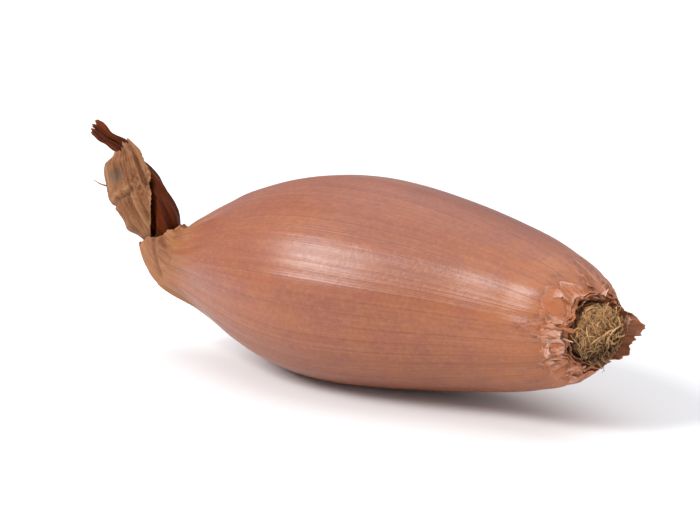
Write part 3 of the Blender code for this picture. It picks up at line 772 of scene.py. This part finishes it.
def flakes(count, seed):
    """Torn flakes of skin round the root's rim: each is a thin sheet held at one end, with uneven sides that
    run in toward a ragged tip, lifted off the skin and curled. Rows run along it, columns round it."""
    draw = np.random.default_rng(seed)
    each = drawer(draw, count, 1, 1)
    rows, across = 16, 11

    def listed(values):
        loop = and_back(values, 2).reshape(count, rows * 2 * across)
        return np.concatenate([loop, loop[:, :1], loop[:, -1:]], axis=1).ravel()

    v = np.linspace(0, 1, rows)[None, :, None]
    u = np.linspace(-1, 1, across)[None, None, :]
    front = each(0, 1) < 0.45
    middle = np.where(front, np.radians(each(-150, -62)), each(-math.pi, math.pi))
    start = each(0.2 * MM, 2.6 * MM)
    length = each(0.8 * MM, 2.4 * MM) * np.where(front, 1.15, 1)
    half = each(0.3 * MM, 0.95 * MM)
    taper = 1 - each(0.35, 0.95) * v**1.6
    nicks = 1 + 0.30 * np.sin(each(3, 9) * v + each(0, 6)) + 0.14 * np.sin(each(14, 25) * v + each(0, 6))
    skew = each(-0.7, 0.7) * v
    angle = middle + half * (u * taper * nicks + skew) / (0.45 * BULB_RADIUS)
    s = start - length * v - 0.16 * MM * u * np.sin(each(2, 7) + 5 * v)
    base = skin_radius(np.maximum(s, 0), angle) - 0.35 * np.clip(-s, 0, None)
    lift = each(0.05, 0.75) * v**1.8 + each(-0.25, 0.3) * v * u
    off = 0.02 + np.maximum(lift, -0.02) + 0.07 * np.sin(9 * u + 6 * v + each(0, 6)) * v
    top, under = (placed(s, angle, base + MM * (off + side)) for side in (0.05, -0.04))
    loop = np.concatenate([top, under[:, :, ::-1]], axis=2) + SHIFT
    ends = [loop[:, :1].mean(axis=2), loop[:, -1:].mean(axis=2)]
    size = rows * 2 * across
    flat = np.concatenate([loop.reshape(count, size, 3)] + ends, axis=1)
    values = {
        "lay": lay_of(listed(s), listed(angle + 0 * s)),
        "edge": per_strand(np.repeat(v[:, :, 0], count, axis=0), rows, 2 * across),
        "tone": per_strand(draw.uniform(0, 1, (count, 1)), rows, 2 * across),
    }
    return flat.reshape(-1, 3), each_of(count, size + 2, closed_faces(rows, 2 * across)), values


# Materials


def set_input(tree, socket, value):
    """Joins a socket to an input of a node, or sets its value."""
    if isinstance(value, bpy.types.NodeSocket):
        tree.links.new(value, socket)
    else:
        socket.default_value = value


def add_node(tree, kind, values=None, **settings):
    """Adds a node, sets its properties, and sets or joins its inputs."""
    made = tree.nodes.new(kind)
    for key, value in settings.items():
        setattr(made, key, value)
    for key, value in (values or {}).items():
        set_input(tree, made.inputs[key], value)
    return made


def mixed(tree, factor, a, b, mode="MIX"):
    """Colour b laid over colour a by a factor."""
    under = a if isinstance(a, bpy.types.NodeSocket) else (*a, 1)
    values = {0: factor, 6: under, 7: (*b, 1)}
    return add_node(tree, "ShaderNodeMix", values, data_type="RGBA", blend_type=mode).outputs[2]


def worked(tree, operation, *values):
    """One math node's result."""
    return add_node(tree, "ShaderNodeMath", dict(enumerate(values)), operation=operation).outputs[0]


def times(tree, a, b):
    """The product of two values."""
    return worked(tree, "MULTIPLY", a, b)


def ranged(tree, value, low, high, to_low=0.0, to_high=1.0):
    """A value's place between low and high, smoothly, as a value between to_low and to_high."""
    values = dict(enumerate((value, low, high, to_low, to_high)))
    return add_node(tree, "ShaderNodeMapRange", values, interpolation_type="SMOOTHSTEP").outputs[0]


def over(tree, colour, top, value, *places):
    """Colour top laid over another by a value's place between low and high, as in ranged."""
    return mixed(tree, ranged(tree, value, *places), colour, top)


def noise(tree, place, scale, detail=2.0, roughness=0.5):
    """Soft noise at a place, 0 to 1."""
    values = {"Vector": place, "Scale": scale, "Detail": detail, "Roughness": roughness}
    return add_node(tree, "ShaderNodeTexNoise", values).outputs[0]


def stretched(tree, place, scale):
    """A place scaled by another measure each way."""
    return add_node(tree, "ShaderNodeMapping", {0: place, 3: scale}).outputs[0]


def stored(tree, name, output="Fac"):
    """A value that the mesh holds at each point."""
    return add_node(tree, "ShaderNodeAttribute", attribute_name=name).outputs[output]


def effect(name, inputs, outputs):
    """An empty shader node group, given a place and named values. Gives the group, its inputs and outputs."""
    group = bpy.data.node_groups.new(name, "ShaderNodeTree")
    group.interface.new_socket("Place", in_out="INPUT", socket_type="NodeSocketVector")
    for socket, default in inputs.items():
        made = group.interface.new_socket(socket, in_out="INPUT", socket_type="NodeSocketFloat")
        made.default_value = default
    for socket in outputs:
        group.interface.new_socket(socket, in_out="OUTPUT", socket_type="NodeSocketFloat")
    return group, group.nodes.new("NodeGroupInput").outputs, group.nodes.new("NodeGroupOutput").inputs


def fibre_effect():
    """Streaks along the surface: noise that is stretched lengthways, as fine fibres and as broad bands."""
    group, given, out = effect("Fibres", {"Fineness": 1.0, "Stretch": 0.05}, ("Fine", "Broad"))
    fineness = given["Fineness"]
    along = times(group, fineness, given["Stretch"])
    scale = add_node(group, "ShaderNodeCombineXYZ", {0: fineness, 1: fineness, 2: along}).outputs[0]
    place = stretched(group, given["Place"], scale)
    group.links.new(noise(group, place, 2.6, 3.0, 0.55), out[0])
    group.links.new(noise(group, place, 0.55, 3.0, 0.55), out[1])
    return group


def vein_effect():
    """Thin lines along the surface: crests of a wave round the axis, which wander and fade along it."""
    group, given, out = effect("Veins", {"Count": 60.0, "Wander": 1.5, "Thinness": 0.9}, ("Lines",))
    apart = add_node(group, "ShaderNodeSeparateXYZ", {0: given["Place"]}).outputs
    around = worked(group, "ARCTAN2", apart[1], apart[0])
    drift = noise(group, stretched(group, given["Place"], (1, 1, 0.2)), 0.16)
    drift = times(group, times(group, drift, given["Wander"]), 6.0)
    phase = worked(group, "MULTIPLY_ADD", around, given["Count"], drift)
    wave = worked(group, "MULTIPLY_ADD", worked(group, "SINE", phase), 0.5, 0.5)
    fade = noise(group, stretched(group, given["Place"], (1, 1, 0.07)), 0.42)
    line = ranged(group, wave, given["Thinness"], 1.0)
    group.links.new(times(group, line, ranged(group, fade, 0.34, 0.60)), out[0])
    return group


def fibres_on(tree, place, fineness, stretch):
    """The streaks at a place in a material, as its fine and its broad output."""
    group = bpy.data.node_groups.get("Fibres") or fibre_effect()
    values = {"Place": place, "Fineness": fineness, "Stretch": stretch}
    return add_node(tree, "ShaderNodeGroup", values, node_tree=group).outputs


def veins_on(tree, place, count, wander, thinness):
    """The thin lines at a place in a material."""
    group = bpy.data.node_groups.get("Veins") or vein_effect()
    values = {"Place": place, "Count": count, "Wander": wander, "Thinness": thinness}
    return add_node(tree, "ShaderNodeGroup", values, node_tree=group).outputs[0]


def new_material(name):
    """An empty node material. Gives the material, its tree and its Principled shader."""
    made = bpy.data.materials.new(name)
    made.use_nodes = True
    return made, made.node_tree, made.node_tree.nodes["Principled BSDF"]


def finished(tree, shader, colour, roughness, height, strength, distance):
    """Joins a material's colour, roughness and fine relief to its shader."""
    bumps = {"Height": height, "Strength": strength, "Distance": distance}
    set_input(tree, shader.inputs["Base Color"], colour)
    set_input(tree, shader.inputs["Roughness"], roughness)
    set_input(tree, shader.inputs["Normal"], add_node(tree, "ShaderNodeBump", bumps).outputs[0])


def skin_finish(look):
    """Dry, satin, mauve brown skin with faint veins, more orange toward the root, tan at the neck, with painted
    shade that makes its upper side darker and redder and darkens the neck's fold groove, and dark specks at the
    root end that are partly soil and partly painted shade.
    """
    made, tree, shader = new_material("shallot_skin")
    lay = stored(tree, "lay", "Vector")
    along = add_node(tree, "ShaderNodeSeparateXYZ", {0: lay}).outputs[2]
    dry, inside, top = stored(tree, "dry"), stored(tree, "inside"), stored(tree, "top")
    fine, broad = fibres_on(tree, lay, 1.0, 0.016)
    veins = veins_on(tree, lay, 52.0, 0.55, 0.9)
    small = veins_on(tree, lay, 131.0, 1.0, 0.78)
    patches = noise(tree, lay, 0.075, 2.0)
    blotches = noise(tree, lay, 0.24, 4.0)
    specks = noise(tree, lay, 1.5, 4.0, 0.68)
    across = stretched(tree, lay, (0.5, 0.5, 3.4))
    weave = noise(tree, across, 1.5, 2.0)
    toward_root = ranged(tree, along, 30.0, 1.0)
    warm = worked(tree, "MULTIPLY_ADD", toward_root, 0.55, ranged(tree, patches, 0.44, 0.66, 0.0, 0.26))
    colour = mixed(tree, warm, look.skin, look.blush)
    colour = over(tree, colour, look.mauve, blotches, 0.44, 0.64, 0.0, 0.5)
    colour = over(tree, colour, look.pale, broad, 0.50, 0.72, 0.0, 0.20)
    colour = over(tree, colour, look.mauve, broad, 0.46, 0.28, 0.0, 0.26)
    colour = over(tree, colour, look.vein, fine, 0.54, 0.30, 0.0, 0.16)
    colour = over(tree, colour, look.pale, fine, 0.54, 0.76, 0.0, 0.18)
    lines = worked(tree, "MAXIMUM", veins, times(tree, small, 0.45))
    colour = mixed(tree, times(tree, lines, 0.36), colour, look.vein)
    colour = over(tree, colour, look.vein, specks, 0.50, 0.70, 0.0, 0.26)
    colour = over(tree, colour, look.pale, specks, 0.50, 0.28, 0.0, 0.22)
    colour = over(tree, colour, look.pale, weave, 0.54, 0.74, 0.0, 0.06)
    colour = over(tree, colour, look.vein, weave, 0.46, 0.28, 0.0, 0.08)
    # Painted shade: the upper side darker and redder.
    colour = mixed(tree, times(tree, top, 0.9), colour, look.shade, "MULTIPLY")
    colour = mixed(tree, times(tree, dry, 0.9), colour, look.dry)
    stained = times(tree, dry, ranged(tree, blotches, 0.42, 0.62, 0.0, 0.45))
    colour = mixed(tree, stained, colour, look.vein)
    grained = times(tree, dry, ranged(tree, fine, 0.54, 0.32, 0.0, 0.6))
    colour = mixed(tree, grained, colour, look.vein)
    peel = stored(tree, "peel")
    bare = times(tree, peel, ranged(tree, dry, 0.0, 1.0, 0.42, 0.12))
    colour = mixed(tree, bare, colour, look.under)
    rim = times(tree, peel, worked(tree, "SUBTRACT", 1.0, peel))
    rim = times(tree, rim, ranged(tree, specks, 0.40, 0.62, 0.2, 1.5))
    rim = times(tree, rim, ranged(tree, dry, 0.0, 0.6, 1.0, 0.3))
    colour = mixed(tree, rim, colour, look.torn_edge)
    # Painted shade: dark in the groove of the neck's fold.
    colour = mixed(tree, stored(tree, "crease"), colour, look.vein)
    # Dark specks near the root end: partly soil, partly painted shade in the torn skin.
    soil_and_shade_specks = times(tree, ranged(tree, along, 9.0, 1.0), ranged(tree, blotches, 0.50, 0.62))
    soil_and_shade_specks = times(tree, soil_and_shade_specks, ranged(tree, specks, 0.47, 0.60, 0.0, 0.6))
    colour = mixed(tree, soil_and_shade_specks, colour, look.root_dark)
    colour = mixed(tree, times(tree, inside, 0.8), colour, look.lining)
    rough = ranged(tree, broad, 0.3, 0.7, look.gloss_low, look.gloss_high)
    rough = worked(tree, "MULTIPLY_ADD", dry, 0.25, rough)
    rough = worked(tree, "MULTIPLY_ADD", specks, 0.10, rough)
    height = worked(tree, "MULTIPLY_ADD", fine, 0.4, times(tree, lines, 0.32))
    height = worked(tree, "MULTIPLY_ADD", weave, 0.08, worked(tree, "MULTIPLY_ADD", specks, 0.55, height))
    height = times(tree, height, ranged(tree, dry, 0.0, 1.0, 1.0, 2.2))
    finished(tree, shader, colour, rough, height, 0.3, 0.0002)
    shader.inputs["Coat Weight"].default_value = 0.10
    shader.inputs["Coat Roughness"].default_value = 0.32
    shader.inputs["Specular IOR Level"].default_value = 0.5
    return made


def torn_finish(look):
    """Thin torn skin: orange brown, some of it pale and pinkish, with pale lifted edges and dark specks that
    are partly soil and partly painted shade.
    """
    made, tree, shader = new_material("torn_skin")
    lay, edge, tone = stored(tree, "lay", "Vector"), stored(tree, "edge"), stored(tree, "tone")
    fine = fibres_on(tree, lay, 1.3, 0.12)[0]
    patches = noise(tree, lay, 0.42, 4.0)
    kind = worked(tree, "MULTIPLY_ADD", tone, 0.3, patches)
    colour = mixed(tree, ranged(tree, kind, 0.52, 0.78), look.blush, look.torn)
    colour = over(tree, colour, look.vein, fine, 0.56, 0.32, 0.0, 0.7)
    # Dark specks: partly soil, partly painted shade between the torn layers.
    torn_soil_and_shade = noise(tree, lay, 0.9, 4.0, 0.68)
    colour = over(tree, colour, look.root_dark, torn_soil_and_shade, 0.52, 0.64, 0.0, 0.6)
    lit = times(tree, edge, ranged(tree, kind, 0.50, 0.80, 0.05, 0.95))
    colour = mixed(tree, lit, colour, look.torn_edge)
    finished(tree, shader, colour, 0.68, fine, 0.6, 0.0002)
    return made


def root_finish(look):
    """Matte dried roots: dark at the base, grey brown along them, cream at the tips."""
    made, tree, shader = new_material("dried_roots")
    along, tone = stored(tree, "along"), stored(tree, "tone")
    place = add_node(tree, "ShaderNodeTexCoord").outputs["Object"]
    grain = noise(tree, place, 2600.0, 3.0)
    colour = mixed(tree, ranged(tree, along, 0.22, 0.80), look.root_dark, look.root)
    colour = mixed(tree, times(tree, ranged(tree, along, 0.5, 1.0), tone), colour, look.root_tip)
    colour = over(tree, colour, look.root_dark, tone, 0.24, 0.08, 0.0, 0.5)
    colour = over(tree, colour, look.root_dark, grain, 0.45, 0.75, 0.0, 0.5)
    # Roots are darker the lower they lie, from about 15.5 mm down to 12.5 mm above the floor.
    height = add_node(tree, "ShaderNodeSeparateXYZ", {0: place}).outputs[2]
    height = worked(tree, "MULTIPLY_ADD", grain, 0.004, height)
    colour = over(tree, colour, look.root_dark, height, 0.0155, 0.0125, 0.0, 0.6)
    finished(tree, shader, colour, 0.85, grain, 0.5, 0.00015)
    return made


def plate_finish(look):
    """Corky root plate: grey tan, with dark pits and fine grain."""
    made, tree, shader = new_material("root_cork")
    place = add_node(tree, "ShaderNodeTexCoord").outputs["Object"]
    grain = noise(tree, place, 1500.0, 5.0, 0.65)
    pits = add_node(tree, "ShaderNodeTexVoronoi", {"Vector": place, "Scale": 1100.0}).outputs["Distance"]
    colour = mixed(tree, ranged(tree, grain, 0.35, 0.65), look.root_dark, look.root)
    colour = over(tree, colour, look.cork, grain, 0.55, 0.75, 0.0, 0.7)
    colour = over(tree, colour, look.root_dark, pits, 0.30, 0.10, 0.0, 0.8)
    height = worked(tree, "ADD", grain, ranged(tree, pits, 0.1, 0.4))
    finished(tree, shader, colour, 0.9, height, 0.6, 0.00025)
    return made


def sheath_finish(look):
    """Papery dried leaf: tan brown with long fibres and pale torn edges, painted shade that is grey brown in
    hollows and darker and redder between ribs, and a painted highlight that is pale on ribs.
    """
    made, tree, shader = new_material("papery_sheath")
    lay, edge, inside = stored(tree, "lay", "Vector"), stored(tree, "edge"), stored(tree, "inside")
    sunk, painted_ridge_light_and_shade = stored(tree, "sunk"), stored(tree, "painted_ridge_light_and_shade")
    fine, broad = fibres_on(tree, lay, 2.4, 0.06)
    patches = noise(tree, lay, 0.34, 4.0)
    specks = noise(tree, lay, 4.0, 3.0)
    colour = mixed(tree, ranged(tree, patches, 0.42, 0.62), look.sheath, look.sheath_red_and_shade)
    colour = over(tree, colour, look.sheath_pale_and_highlight, broad, 0.48, 0.68, 0.0, 0.7)
    colour = over(tree, colour, look.sheath_dark, fine, 0.54, 0.30, 0.0, 0.75)
    # Painted highlight: pale on the sheath's ridges.
    colour = over(tree, colour, look.sheath_pale_and_highlight, painted_ridge_light_and_shade, 0.04, 0.26, 0.0, 0.6)
    # Painted shade: darker and redder where the surface lies low between the ridges.
    colour = over(tree, colour, look.sheath_red_and_shade, painted_ridge_light_and_shade, 0.02, -0.10, 0.0, 0.45)
    # Painted shade: grey brown in the sheath's pinch, dent and groove.
    colour = over(tree, colour, look.sheath_hollow_shade, sunk, 0.06, 0.4, 0.0, 0.75)
    colour = over(tree, colour, look.sheath_dark, specks, 0.56, 0.74, 0.0, 0.4)
    colour = mixed(tree, times(tree, edge, 0.35), colour, look.sheath_pale_and_highlight)
    colour = mixed(tree, times(tree, inside, 0.75), colour, look.sheath_dark)
    height = worked(tree, "ADD", fine, broad)
    height = worked(tree, "MULTIPLY_ADD", specks, 0.4, height)
    finished(tree, shader, colour, 0.68, height, 0.55, 0.0003)
    shader.inputs["Specular IOR Level"].default_value = 0.35
    return made


def leaf_finish(look):
    """Dark dried inner leaf: red brown, wrinkled, lighter at its frayed end."""
    made, tree, shader = new_material("dark_inner_leaf")
    lay, edge = stored(tree, "lay", "Vector"), stored(tree, "edge")
    fine, broad = fibres_on(tree, lay, 2.6, 0.07)
    colour = mixed(tree, ranged(tree, broad, 0.36, 0.66), look.leaf_dark, look.leaf)
    colour = over(tree, colour, look.leaf_pale, fine, 0.56, 0.78, 0.0, 0.55)
    worn = times(tree, edge, ranged(tree, fine, 0.40, 0.62, 0.1, 0.9))
    colour = mixed(tree, worn, colour, look.leaf_pale)
    height = worked(tree, "ADD", fine, broad)
    finished(tree, shader, colour, 0.6, height, 0.5, 0.0003)
    shader.inputs["Specular IOR Level"].default_value = 0.10
    return made


def floor_finish():
    """Plain pale floor with a hardly visible unevenness."""
    made, tree, shader = new_material("pale_floor")
    place = add_node(tree, "ShaderNodeTexCoord").outputs["Object"]
    uneven = noise(tree, place, 3.0)
    tree.links.new(mixed(tree, uneven, (0.83, 0.83, 0.83), (0.86, 0.86, 0.86)), shader.inputs["Base Color"])
    shader.inputs["Roughness"].default_value = 0.8
    return made


# Settings


def colour_setting(name, description, default):
    """A colour that a user can change."""
    return bpy.props.FloatVectorProperty(
        name=name, description=description, default=default, size=3, min=0, max=1, subtype="COLOR"
    )


class ShallotShape(bpy.types.PropertyGroup):
    """Sizes of the fine detail."""

    tear: bpy.props.FloatProperty(
        name="Tear", description="How far the fine teeth of torn edges reach", default=0.9 * MM, min=0,
        max=2 * MM, precision=5, subtype="DISTANCE", unit="LENGTH",
    )
    ribs: bpy.props.FloatProperty(
        name="Ribs", description="Strength of the hair-fine ribs along the skin", default=1.0, min=0, max=3,
        subtype="FACTOR",
    )
    roots: bpy.props.IntProperty(
        name="Fine roots", description="How many fine roots fill the plate", default=330, min=0, max=400
    )


class ShallotLook(bpy.types.PropertyGroup):
    """Colours and gloss."""

    skin: colour_setting("Skin", "Mauve brown of the skin", (0.292, 0.088, 0.037))
    blush: colour_setting("Blush", "Warm brown toward the root", (0.365, 0.11, 0.026))
    pale: colour_setting("Pale streaks", "Lighter streaks along the skin", (0.47, 0.205, 0.11))
    mauve: colour_setting("Mauve patches", "Darker, cooler patches of the skin", (0.25, 0.068, 0.041))
    vein: colour_setting("Veins", "Dark lines along the skin", (0.15, 0.038, 0.013))
    under: colour_setting("Under layer", "Orange brown skin below the outermost layer", (0.47, 0.138, 0.042))
    # Painted shade: the tint that makes the upper side darker and redder.
    shade: colour_setting("Top shade", "Tint of the redder upper side", (0.7, 0.44, 0.33))
    dry: colour_setting("Dry skin", "Tan skin at the neck", (0.33, 0.132, 0.036))
    lining: colour_setting("Lining", "Inner side of the skin", (0.235, 0.07, 0.02))
    torn: colour_setting("Torn skin", "Torn layers at the root", (0.52, 0.18, 0.085))
    torn_edge: colour_setting("Torn edges", "Pale lifted edges of torn skin", (0.66, 0.39, 0.29))
    root: colour_setting("Roots", "Grey brown of dried roots", (0.56, 0.28, 0.10))
    root_dark: colour_setting("Dark roots", "Dark base of the roots", (0.05, 0.022, 0.009))
    root_tip: colour_setting("Root tips", "Cream tips of the roots", (0.62, 0.43, 0.23))
    cork: colour_setting("Cork", "Light grain of the root plate", (0.6, 0.36, 0.165))
    sheath: colour_setting("Sheath", "Tan of the dry leaf sheath", (0.262, 0.108, 0.041))
    # Red brown patches, and painted shade in the low places between the sheath's ridges.
    sheath_red_and_shade: colour_setting("Sheath, red", "Red brown patches of the sheath", (0.222, 0.078, 0.025))
    sheath_pale_and_highlight: colour_setting("Sheath, pale", "Pale ribs of the sheath", (0.375, 0.18, 0.078))
    # Pale streaks and torn edges, and a painted highlight on the sheath's ridges.
    sheath_dark: colour_setting("Sheath, dark", "Dark lines of the sheath", (0.085, 0.027, 0.009))
    # Painted shade: the grey brown of the sheath's hollows.
    sheath_hollow_shade: colour_setting("Sheath, grey", "Grey brown of its hollows", (0.135, 0.08, 0.045))
    leaf: colour_setting("Inner leaf", "Red brown of the inner leaf", (0.13, 0.021, 0.002))
    leaf_dark: colour_setting("Inner leaf, dark", "Its dark folds", (0.036, 0.006, 0.001))
    leaf_pale: colour_setting("Inner leaf, pale", "Its lighter fibres", (0.2, 0.055, 0.014))
    gloss_low: bpy.props.FloatProperty(
        name="Lowest roughness", description="Roughness of the glossiest skin", default=0.30, min=0, max=1,
        subtype="FACTOR",
    )
    gloss_high: bpy.props.FloatProperty(
        name="Highest roughness", description="Roughness of the dullest skin", default=0.46, min=0, max=1,
        subtype="FACTOR",
    )


class ShallotStage(bpy.types.PropertyGroup):
    """Camera and light."""

    azimuth: bpy.props.FloatProperty(
        name="Azimuth", description="Camera's turn round the shallot, from its front toward its root end",
        default=math.radians(32), subtype="ANGLE", unit="ROTATION",
    )
    elevation: bpy.props.FloatProperty(
        name="Elevation", description="Camera's height above level", default=math.radians(13),
        subtype="ANGLE", unit="ROTATION",
    )
    fill: bpy.props.FloatProperty(
        name="Fill", description="Share of the picture's width that the shallot takes", default=0.78, min=0.2,
        max=1, subtype="FACTOR",
    )
    key_power: bpy.props.FloatProperty(
        name="Key light", description="Power of the main light", default=6.8, min=0, max=100,
        subtype="POWER", unit="POWER",
    )


# Operators


class SHALLOT_OT_skin(bpy.types.Operator):
    """Makes the skin with its torn fringe, neck edge and fine ribs"""

    bl_idname = "shallot.skin"
    bl_label = "Skin"

    def execute(self, context):
        shape, look = context.scene.shallot_shape, context.scene.shallot_look
        piece = add_piece("bulb_skin", skin_finish(look), "skin", *skin_surface(shape))
        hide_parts("bulb")
        return {"FINISHED"}


class SHALLOT_OT_torn_layers(bpy.types.Operator):
    """Makes the torn outer layers of skin round the root end"""

    bl_idname = "shallot.torn_layers"
    bl_label = "Torn layers"

    def execute(self, context):
        shape, look = context.scene.shallot_shape, context.scene.shallot_look
        finish = torn_finish(look)
        add_piece("torn_layer", finish, "skin", *torn_layer(shape, 74, 0.07 * MM, 0.42 * MM))
        add_piece("torn_inner_ring", finish, "skin", *inner_ring(76))
        add_piece("torn_flakes", finish, "skin", *flakes(34, 75))
        return {"FINISHED"}


class SHALLOT_OT_roots(bpy.types.Operator):
    """Makes the corky root plate and its dried roots: main ones, a mat of finer ones, and wispy hairs"""

    bl_idname = "shallot.roots"
    bl_label = "Root plate and roots"

    def execute(self, context):
        shape, look = context.scene.shallot_shape, context.scene.shallot_look
        piece = add_piece("root_plate_cork", plate_finish(look), "roots", *plate_surface())
        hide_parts("root_plate")
        rng, draw = random.Random(ROOT_SEED), np.random.default_rng(ROOT_SEED)
        t = np.linspace(0, 1, 15)
        main = np.array([main_root(rng, k, t) for k in range(ROOT_COUNT)])
        mat, flat = root_mat(shape.roots, t, ROOT_SEED)
        hairs = root_hairs(16, t, ROOT_SEED)
        finish = root_finish(look)
        for name, paths, thick, tone, start in (
            ("main_roots", main, 0.46 * ROOT_RADIUS, 0.7, 0.0),
            ("root_mat", mat, (0.145 - 0.06 * flat) * MM, 0.35, 0.6 * flat),
            ("root_hairs", hairs, 0.045 * MM, 1.0, 0.5),
        ):
            add_piece(name, finish, "roots", *root_strands(draw, paths, t, thick, tone, start))
        return {"FINISHED"}


class SHALLOT_OT_sheath(bpy.types.Operator):
    """Makes the papery leaf sheath that stands in the neck's mouth"""

    bl_idname = "shallot.sheath"
    bl_label = "Leaf sheath"

    def execute(self, context):
        finish = sheath_finish(context.scene.shallot_look)
        surface = sheath_surface(context.scene.shallot_shape)
        piece = add_piece("leaf_sheath_paper", finish, "papery_leaf", *surface)
        add_piece("stray_fibre", finish, "papery_leaf", *stray_fibre())
        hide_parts("leaf_sheath")
        return {"FINISHED"}


class SHALLOT_OT_inner_leaf(bpy.types.Operator):
    """Makes the dark inner leaf with its frayed tip"""

    bl_idname = "shallot.inner_leaf"
    bl_label = "Inner leaf"

    def execute(self, context):
        finish = leaf_finish(context.scene.shallot_look)
        piece = add_piece("inner_leaf_dry", finish, "dark_leaf", *inner_leaf_surface())
        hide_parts("inner_leaf")
        return {"FINISHED"}


class SHALLOT_OT_stage(bpy.types.Operator):
    """Sets the floor, the lights and the camera"""

    bl_idname = "shallot.stage"
    bl_label = "Stage"

    def execute(self, context):
        stage = context.scene.shallot_stage
        low, high = (np.array(corner) for corner in CAD_BOUNDS)
        middle = Vector((low + high) / 2)
        size = float(max(high - low))
        mesh = bpy.data.meshes.new("floor")
        mesh.from_pydata([(-4, -4, 0), (4, -4, 0), (4, 4, 0), (-4, 4, 0)], [], [(0, 1, 2, 3)])
        mesh.materials.append(floor_finish())
        floor = bpy.data.objects.new("floor", mesh)
        context.scene.collection.objects.link(floor)
        turn, lift = stage.azimuth, stage.elevation
        back = Vector((math.sin(turn) * math.cos(lift), -math.cos(turn) * math.cos(lift), math.sin(lift)))
        right = Vector((math.cos(turn), math.sin(turn), 0))
        up = back.cross(right)
        lens = bpy.data.cameras.new("camera")
        lens.lens, lens.sensor_width, lens.clip_start = 100, 36, 0.01
        camera = bpy.data.objects.new("camera", lens)
        context.scene.collection.objects.link(camera)
        corners = np.array([[x, y] for x in (low[0], high[0]) for y in (low[1], high[1])])
        reach = corners @ np.array(right)[:2]
        width = 0.82 * (reach.max() - reach.min())
        distance = width / stage.fill * lens.lens / lens.sensor_width
        camera.location = middle + back * distance + up * 0.012 * size
        camera.rotation_euler = back.to_track_quat("Z", "Y").to_euler()
        context.scene.camera = camera
        key, fill, above = stage.key_power, 0.2 * stage.key_power, 3.4 * stage.key_power
        self.lamp(context, "key", middle + 0.8 * (0.62 * up - 0.75 * right + 0.45 * back), middle, 0.34, key)
        self.lamp(context, "fill", middle + 0.9 * (0.75 * right + 0.1 * up + 0.65 * back), middle, 0.8, fill)
        self.lamp(context, "above", middle + Vector((0, 0.6, 1.8)), middle, 2.4, above)
        world = bpy.data.worlds.new("pale_room")
        world.use_nodes = True
        world.node_tree.nodes["Background"].inputs[0].default_value = (0.93, 0.95, 1.0, 1)
        world.node_tree.nodes["Background"].inputs[1].default_value = 0.62
        context.scene.world = world
        context.scene.view_settings.view_transform = "Standard"
        return {"FINISHED"}

    def lamp(self, context, name, place, target, size, power):
        """A square soft light that faces the target."""
        light = bpy.data.lights.new(name, "AREA")
        light.size, light.energy = size, power
        lamp = bpy.data.objects.new(name, light)
        context.scene.collection.objects.link(lamp)
        lamp.location = place
        lamp.rotation_euler = (place - target).to_track_quat("Z", "Y").to_euler()


OPERATORS = (
    SHALLOT_OT_skin, SHALLOT_OT_torn_layers, SHALLOT_OT_roots, SHALLOT_OT_sheath, SHALLOT_OT_inner_leaf,
    SHALLOT_OT_stage,
)


class SHALLOT_PT_sidebar(bpy.types.Panel):
    """Lists the shallot's pieces and settings"""

    bl_idname = "SHALLOT_PT_sidebar"
    bl_label = "Shallot"
    bl_space_type = "VIEW_3D"
    bl_region_type = "UI"
    bl_category = "Shallot"

    def draw(self, context):
        for operator in OPERATORS:
            self.layout.operator(operator.bl_idname)
        for group in (context.scene.shallot_shape, context.scene.shallot_look, context.scene.shallot_stage):
            box = self.layout.box()
            for key in group.__annotations__:
                box.prop(group, key)


GROUPS = (ShallotShape, ShallotLook, ShallotStage)
CLASSES = GROUPS + OPERATORS + (SHALLOT_PT_sidebar,)


def register():
    for each in CLASSES:
        bpy.utils.register_class(each)
    bpy.types.Scene.shallot_shape = bpy.props.PointerProperty(type=ShallotShape)
    bpy.types.Scene.shallot_look = bpy.props.PointerProperty(type=ShallotLook)
    bpy.types.Scene.shallot_stage = bpy.props.PointerProperty(type=ShallotStage)


def unregister():
    del bpy.types.Scene.shallot_stage
    del bpy.types.Scene.shallot_look
    del bpy.types.Scene.shallot_shape
    for each in reversed(CLASSES):
        bpy.utils.unregister_class(each)


def main():
    """Makes every piece in order, then the stage."""
    register()
    bpy.ops.shallot.skin()
    bpy.ops.shallot.torn_layers()
    bpy.ops.shallot.roots()
    bpy.ops.shallot.sheath()
    bpy.ops.shallot.inner_leaf()
    bpy.ops.shallot.stage()
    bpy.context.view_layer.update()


if __name__ == "__main__":
    main()
